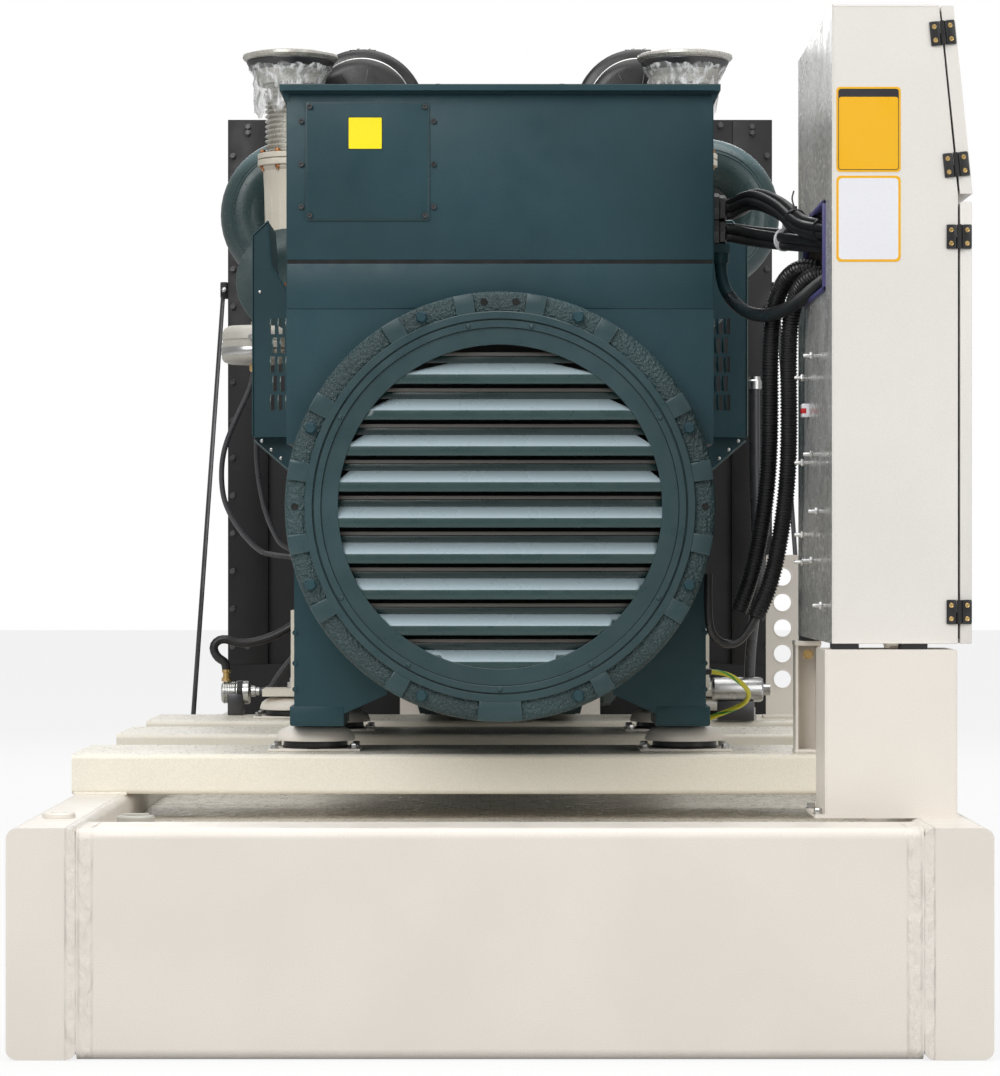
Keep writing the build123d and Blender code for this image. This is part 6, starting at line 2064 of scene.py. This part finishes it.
@dataclass
class Cords(Assembly):
    """The two cords that hang free: the conduit to the cabinet and the earth cable."""

    conduit: tuple[Triple, ...] = (
        (504, -1790, 1698), (504, -1790, 1651), (518, -1798, 1604), (547, -1818, 1568), (593, -1855, 1547),
        (644, -1922, 1558), (682, -2006, 1586), (706, -2112, 1607), (730, -2220, 1619))
    earth: tuple[Triple, ...] = (
        (472, -1690, 738), (518, -1690, 738), (562, -1662, 712), (584, -1622, 686), (578, -1576, 660),
        (540, -1532, 640), (494, -1490, 620), (444, -1462, 592), (398, -1450, 564))
    conduit_radius: float = 15.5
    earth_radius: float = 6.0

    def route(self, points: Sequence[Triple]) -> list[Vector]:
        """Reads the smooth line of a cord.

        Args:
            points: Its control points, in millimetres.

        Returns:
            The line's points, in millimetres.
        """
        holder = put("line", line_data("line", points))
        line = bpy.data.meshes.new_from_object(holder.evaluated_get(bpy.context.evaluated_depsgraph_get()))
        route = [vert.co / MM for vert in line.vertices]
        bpy.data.objects.remove(holder)
        bpy.data.meshes.remove(line)
        return route

    def make(self, name: str, points: Sequence[Triple], radius: float, finish: Finish,
             slot: str) -> tuple[bpy.types.Object, float]:
        """Makes a cord as a round curve.

        Args:
            name: The cord's name, which is its node's too.
            points: Its control points, in millimetres.
            radius: Its radius.
            finish: Its finish.
            slot: Not used.

        Returns:
            The cord and its length in metres.
        """
        curve = line_data(name, points)
        curve.bevel_depth = radius * MM
        curve.bevel_resolution = 5
        curve.use_fill_caps = True
        curve.materials.append(finish.material())
        made = put(name + "_line", curve)
        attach(made, "set")
        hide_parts(name)
        route = self.route(points)
        return made, MM * sum((after - before).length for before, after in zip(route, route[1:]))

    def build(self) -> None:
        """Makes both cords, the conduit's ribs and end, and the earth cable's stripe and eyes."""
        line, length = self.make("sagging_conduit", self.conduit, self.conduit_radius - 1.2, GREEN,
                                 "black_rubber")
        route = self.route(self.conduit)
        ribs = Piece("conduit_ribs")
        frames = route_frames(route)
        run = 0.0
        for before, after in zip(frames, frames[1:]):
            stretch = (after[0] - before[0]).length
            while run < stretch:
                share = run / stretch
                spot = before[0].lerp(after[0], share)
                if spot.z < 1640 and spot.y < -1800:
                    way = (after[0] - before[0]).normalized()
                    place = along(spot, way)
                    ribs.lathe(place, [(14.0, -1.7), (15.4, -0.8), (15.4, 0.8), (14.0, 1.7)], PLASTIC, 16)
                run += 4.6
            run -= stretch
        end = standing(*self.conduit[0], Facing.DOWN)
        ribs.lathe(end, [(15.5, 0.4), (20, 0.4), (20, 20), (17, 24), (15.5, 24)], GREEN, 24)
        tip = (Vector(self.conduit[-1]) - Vector(self.conduit[-2])).normalized()
        place = along(self.conduit[-1], tip)
        ribs.lathe(place, [(15.5, -16), (18, -15), (18, -2), (16, 0), (0, 0)], COPPER, 24)
        made = ribs.build("black_rubber")
        line, length = self.make("earth_cable", self.earth, self.earth_radius - 0.3, EARTH_BASE,
                                 "earth_sheath")
        stripe = Piece("earth_stripe")
        route = self.route(self.earth)
        frames = route_frames(route)
        ring = []
        run = 0.0
        for number, (spot, across, up) in enumerate(frames):
            run += (route[number] - route[number - 1]).length if number else 0.0
            twist = run / 26
            ring.append([spot + self.earth_radius * (cos(twist + part) * across + sin(twist + part) * up)
                         for part in (-0.42, -0.14, 0.14, 0.42)]
                        + [spot + (self.earth_radius - 0.8) * (cos(twist + part) * across
                                                               + sin(twist + part) * up)
                           for part in (0.42, 0.14, -0.14, -0.42)])
        stripe.loft(ring, EARTH_STRIPE)
        for index, ahead in ((0, 1), (-1, -2)):
            way = (Vector(self.earth[ahead]) - Vector(self.earth[index])).normalized()
            place = along(self.earth[index], way)
            stripe.lathe(place, [(0, 0.2), (7.4, 0.2), (7.6, 2), (7.6, 16), (6.2, 18), (6.0, 18)], PLASTIC,
                         20)
        made = stripe.build("earth_sheath")
        LOG.info("cords: 2")


@dataclass
class Cables(Assembly):
    """The power cables' strands and ties, the ribbed conduits and the hoses on the right."""

    bundle: float = 25.0
    upper: tuple[Triple, ...] = ((487, -1790, 1799), (530, -1790, 1799), (578, -1840, 1817),
                                 (630, -1930, 1786), (668, -2040, 1737), (703, -2180, 1714),
                                 (735, -2280, 1704))
    lower: tuple[Triple, ...] = ((487, -1790, 1745), (530, -1790, 1745), (580, -1825, 1733),
                                 (640, -1910, 1718), (684, -2005, 1706), (706, -2080, 1698),
                                 (740, -2140, 1690))
    first: tuple[Triple, ...] = ((715, -1925, 1652), (675, -1915, 1662), (630, -1842, 1612),
                                 (615, -1820, 1500), (616, -1820, 1268), (606, -1820, 1130),
                                 (583, -1816, 996), (562, -1814, 925), (545, -1812, 880))
    second: tuple[Triple, ...] = ((725, -1975, 1636), (692, -1955, 1634), (664, -1898, 1590),
                                  (652, -1868, 1500), (656, -1860, 1268), (648, -1860, 1130),
                                  (627, -1856, 996), (604, -1854, 915), (580, -1852, 866))

    def strands(self) -> None:
        """Makes each bundle's strands, which twist a little round each other, its ties and the glands."""
        for bundle, points, count, part in (("upper", self.upper, 6, 0.36), ("lower", self.lower, 4, 0.44)):
            frames = route_frames(smooth_route(points, 3))
            thick = self.bundle * part
            for strand in range(count):
                line = []
                for index, (spot, across, up) in enumerate(frames):
                    turn = 2 * pi * strand / count + 0.06 * index
                    wide = self.bundle - thick
                    line.append(tuple(spot + wide * (cos(turn) * across + sin(turn) * up)))
                self.shop.sweep(f"power_strand_{bundle}_{strand}", line, thick, RUBBER, 14, 9,
                           replaced=("power_cables",) if strand == 0 else (), slot="black_rubber")
        piece = Piece("cable_ties")
        for points, share, finish in ((self.upper, 11, RUBBER), (self.upper, 15, RUBBER),
                                      (self.lower, 9, WHITE)):
            frames = route_frames(smooth_route(points, 3))
            spot, across, up = frames[share]
            way = across.cross(up)
            place = along(spot, way)
            piece.lathe(place, [(24.8, -3.5), (26.6, -3.2), (26.6, 3.2), (24.8, 3.5)], finish, 28)
            piece.box((spot.x - 5, spot.y - 4, spot.z + 22), (spot.x + 5, spot.y + 4, spot.z + 32), finish,
                      1.5)
            piece.tube([tuple(spot + Vector((0, 0, 26))), tuple(spot + Vector((-6, 0, 48))),
                        tuple(spot + Vector((-2, 0, 66)))], 1.8, finish, 6, 4)
        for y, z in ((-1790, 1799), (-1790, 1745)):
            piece.lathe(standing(487.2, y, z, Facing.RIGHT),
                        [(27, 0), (36, 0), (36, 12), (32, 15), (32, 26), (27, 30), (26, 30)], PLASTIC, 8)
        piece.build("black_rubber")

    def conduits(self) -> None:
        """Makes the ribbed conduits."""
        self.shop.sweep("ribbed_conduit_first", self.first, 20.0, PLASTIC, 24, 1.9, 0.13,
                        ("ribbed_conduits",), "black_rubber")
        self.shop.sweep("ribbed_conduit_second", self.second, 20.0, PLASTIC, 24, 1.9, 0.13,
                        slot="black_rubber")

    def hoses(self) -> None:
        """Makes the grey hoses on the right and their fittings."""
        self.shop.sweep("hose_to_casing", [(580, -1852, 866), (558, -1850, 822), (520, -1840, 800),
                                           (480, -1855, 822), (470, -1860, 880), (472, -1860, 965)], 9.5,
                        PLASTIC, 16, 8, 0.0, ("hoses_right",), "black_rubber")
        self.shop.sweep("hose_behind_casing", [(698, -241, 1480), (698, -241, 1060), (720, -231, 980),
                                               (700, -181, 830), (690, -141, 700), (690, -141, 554)], 15.0,
                        HOSE, 20, 10, slot="black_rubber")
        piece = Piece("hose_fittings")
        piece.lathe(standing(698, -241, 1466), [(15, 0), (20, 0), (20, 22), (16, 26), (16, 34), (0, 34)],
                    STEEL, 24)
        piece.lathe(standing(690, -141, 554.3), [(22, 0), (22, 10), (18, 14), (18, 34), (15.4, 36)], STEEL,
                    24)
        filter_place = standing(655, -181, 640, Facing.RIGHT)
        piece.lathe(filter_place, [(0, -70), (28, -70), (34, -64), (34, 64), (30, 70), (16, 72), (16, 90),
                                   (0, 92)], STEEL, 32)
        piece.box((600, -200, 554.3), (700, -162, 610), DARK_STEEL, 3)
        piece.build("bellows_steel")

    def build(self) -> None:
        """Makes all of it."""
        self.strands()
        self.conduits()
        self.hoses()


@dataclass
class LeftSide(Assembly):
    """The hoses on the left with their fittings, and the draining pump."""

    first: tuple[Triple, ...] = ((-692, 0, 1548), (-692, 0, 1500), (-742, 5, 1400), (-782, 5, 1300),
                                 (-785, 5, 1200), (-765, 5, 1130), (-705, 5, 1045), (-640, 5, 1000),
                                 (-340, 5, 1000))
    second: tuple[Triple, ...] = ((-690, 100, 1560), (-694, 100, 1330), (-688, 100, 1230), (-662, 100, 1110),
                                  (-600, 100, 1000), (-340, 100, 1000))

    def pump(self) -> None:
        """Makes the pump with its ribbed end, spout and saddle strap."""
        piece = Piece("pump_shell")
        place = standing(-798, 179, 618, Facing.RIGHT)
        profile = [(0, 0.4), (24, 0.4), (28, 3)]
        for number in range(7):
            profile += [(28.5, 5 + number * 5), (31.5, 6.5 + number * 5), (31.5, 8.5 + number * 5),
                        (28.5, 9.5 + number * 5)]
        piece.lathe(place, [*profile, (33, 44), (33, 78), (28, 84), (0, 84.6)], STEEL, 36)
        piece.box((-778, 144, 554.3), (-734, 214, 616), DARK_STEEL, 3)
        piece.lathe(place @ shift(0, 0, 54), [(33.2, -8), (35, -7), (35, 7), (33.2, 8)], BLACK, 36)
        piece.build("bellows_steel", ["drain_pump"])

    def build(self) -> None:
        """Makes all of it."""
        self.shop.sweep("breather_hose", self.first, 7.5, HOSE, 14, 10, 0.0, ("hoses_left",), "black_rubber")
        self.shop.sweep("bank_hose", self.second, 7.5, HOSE, 14, 10, slot="black_rubber")
        piece = Piece("left_hose_fittings")
        piece.lathe(standing(-692, 0, 1548, Facing.DOWN), [(8, 0.4), (13, 0.4), (13, 16), (10, 20), (8, 22)],
                    BRASS, 6)
        piece.lathe(standing(-690, 100, 1528), [(8, 0), (12, 0), (12, 26), (9, 30), (0, 32)], BRASS, 6)
        for y in (5, 100):
            piece.lathe(standing(-340.4, y, 1000, Facing.LEFT),
                        [(8, 0), (14, 0), (14, 18), (10, 24), (8, 24)], BRASS, 6)
        piece.lathe(standing(-784, 179, 650), [(9, 0), (14, 0), (14, 10), (10, 12), (10, 24), (13, 26),
                                               (13, 34), (9, 36)], BRASS, 12)
        piece.lathe(standing(-713.4, 179, 622, Facing.RIGHT),
                    [(0, 0.2), (16, 0.2), (16, 12), (12, 14), (12, 24), (0, 25)], STEEL, 20)
        for y, z in ((200, 960), (150, 880)):
            piece.lathe(standing(-340.4, y, z, Facing.LEFT), [(8, 0), (16, 0), (16, 18), (12, 24), (8, 24)],
                        BRASS, 6)
        piece.build("bellows_steel")
        self.shop.sweep("pump_hose_upper", [(-784, 179, 678), (-784, 179, 706), (-810, 179, 716),
                                            (-826, 181, 752), (-796, 184, 776), (-746, 186, 756),
                                            (-674, 190, 768), (-596, 194, 806), (-480, 198, 900),
                                            (-420, 200, 960), (-340, 200, 960)], 12.5, RUBBER, 16, 10,
                        slot="black_rubber")
        self.shop.sweep("pump_hose_lower", [(-694, 179, 622), (-660, 178, 622), (-640, 172, 660),
                                            (-596, 166, 716), (-500, 156, 820), (-420, 150, 880),
                                            (-340, 150, 880)], 9.0, HOSE, 16, 10, slot="black_rubber")
        self.pump()


@dataclass
class Strap(Assembly):
    """The perforated strap on the rear crossbeam, with rolled hole rims and its clip."""

    x: float = 796.0
    y: float = 19.0
    low: float = 554.0
    high: float = 1012.0

    def build(self) -> None:
        """Makes all of it."""
        piece = Piece("strap")
        place = upright(0, self.y, 0)
        holes = [[(self.x + u, self.high - 62 - 72 * number + v) for u, v in cross(24.5, 32)]
                 for number in range(5)]
        piece.sheet(rounded_box((self.x - 46.5, self.low + 0.4), (self.x + 46.5, self.high), 5), place, 5,
                    CREAM, holes)
        for number in range(5):
            rim = upright(self.x, self.y - 5, self.high - 62 - 72 * number)
            piece.lathe(rim, [(24.2, -0.6), (27.5, -0.4), (27.0, 1.2), (24.8, 1.4)], CREAM, 40, True)
        piece.box((self.x - 58, self.y - 60, self.low + 0.3), (self.x + 58, self.y + 4, self.low + 9), CREAM,
                  2)
        piece.build("cream_paint", ["perforated_strap"])


@dataclass
class Studio:
    """The camera, lamps, floor and world."""

    camera: Triple = (0.0, -9.571, 0.992)
    lens: float = 113.82
    shift: float = 0.0223

    def view(self) -> None:
        """Sets the camera at the photograph's angle."""
        data = bpy.data.cameras.new("view")
        data.lens = self.lens
        data.sensor_width = 36.0
        data.shift_y = self.shift
        data.clip_end = 200.0
        camera = put("view", data)
        camera.location = self.camera
        camera.rotation_euler = (pi / 2, 0.0, 0.0)
        bpy.context.scene.camera = camera
        bpy.context.scene.view_settings.view_transform = "Standard"

    def light(self) -> None:
        """Hangs the soft lamps and sets the world."""
        for name, place, size, power in (("key", (-3.2, -7.5, 6.0), 5.0, 370.0),
                                         ("fill", (5.0, -6.5, 3.5), 5.0, 150.0),
                                         ("top", (0.5, -0.5, 7.5), 6.0, 300.0),
                                         ("rear", (0.0, 8.0, 5.0), 5.0, 160.0)):
            data = bpy.data.lights.new(name, "AREA")
            data.energy = power
            data.size = size
            lamp = put(name, data)
            lamp.location = place
            lamp.rotation_euler = (Vector((0, 0, 1.1)) - Vector(place)).to_track_quat("-Z", "Y").to_euler()
        world = bpy.data.worlds.new("studio")
        bpy.context.scene.world = world
        world.use_nodes = True
        tree = world.node_tree
        shade = tree.nodes["Background"]
        shade.inputs["Color"].default_value = (1.0, 1.0, 1.0, 1.0)
        path = tree.nodes.new("ShaderNodeLightPath")
        seen = tree.nodes.new("ShaderNodeMath")
        seen.operation = "MAXIMUM"
        tree.links.new(path.outputs["Is Camera Ray"], seen.inputs[0])
        tree.links.new(path.outputs["Is Transmission Ray"], seen.inputs[1])
        level = tree.nodes.new("ShaderNodeMapRange")
        level.inputs["To Min"].default_value = 0.46
        level.inputs["To Max"].default_value = 1.0
        tree.links.new(seen.outputs[0], level.inputs["Value"])
        tree.links.new(level.outputs[0], shade.inputs["Strength"])

    def floor(self) -> None:
        """Lays the pale floor, white to the camera but for the set's shadow."""
        drawn = bmesh.new()
        bmesh.ops.create_grid(drawn, x_segments=8, y_segments=8, size=30.0)
        mesh = bpy.data.meshes.new("floor")
        drawn.to_mesh(mesh)
        drawn.free()
        ground = put("floor", mesh)
        ground.location = (0.0, 10.0, -0.001)
        draft = Draft("floor_paint")
        tone = draft.spread(draft.noise(1.3, 3.0), 0.3, 0.7)
        path = draft.tree.nodes.new("ShaderNodeLightPath")
        colour = draft.blend(tone, (0.82, 0.82, 0.82), (0.80, 0.80, 0.80))
        colour = draft.blend(path.outputs["Is Diffuse Ray"], colour, (0.42, 0.42, 0.42))
        draft.link(colour, draft.shader.inputs["Base Color"])
        draft.shader.inputs["Roughness"].default_value = 0.75
        glow = draft.tree.nodes.new("ShaderNodeEmission")
        glow.inputs["Strength"].default_value = 1.0
        mixed = draft.tree.nodes.new("ShaderNodeMixShader")
        draft.link(draft.math("MULTIPLY", path.outputs["Is Camera Ray"], 0.82), mixed.inputs[0])
        draft.link(draft.shader.outputs[0], mixed.inputs[1])
        draft.link(glow.outputs[0], mixed.inputs[2])
        output = next(node for node in draft.tree.nodes if node.bl_idname == "ShaderNodeOutputMaterial")
        draft.link(mixed.outputs[0], output.inputs[0])
        mesh.materials.append(draft.material)

    def build(self) -> None:
        """Makes all of it but the camera."""
        self.light()
        self.floor()


def main() -> None:
    """Loads the solids, dresses them and makes every finer piece."""
    logging.basicConfig(level=logging.INFO, format="%(message)s")
    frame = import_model()
    studio = Studio()
    studio.view()
    shop = Workshop()
    shop.stock()
    Cords(shop).build()
    Coats().apply(frame["nodes"])
    for assembly in (Skid, EndShield, AirIntake, TerminalBox, Hoods, Mounts, Engine, Exhaust, AirSide,
                     Cooling, Cabinet, Cables, LeftSide, Strap):
        assembly(shop).build()
    shop.clear()
    studio.build()


if __name__ == "__main__":
    main()
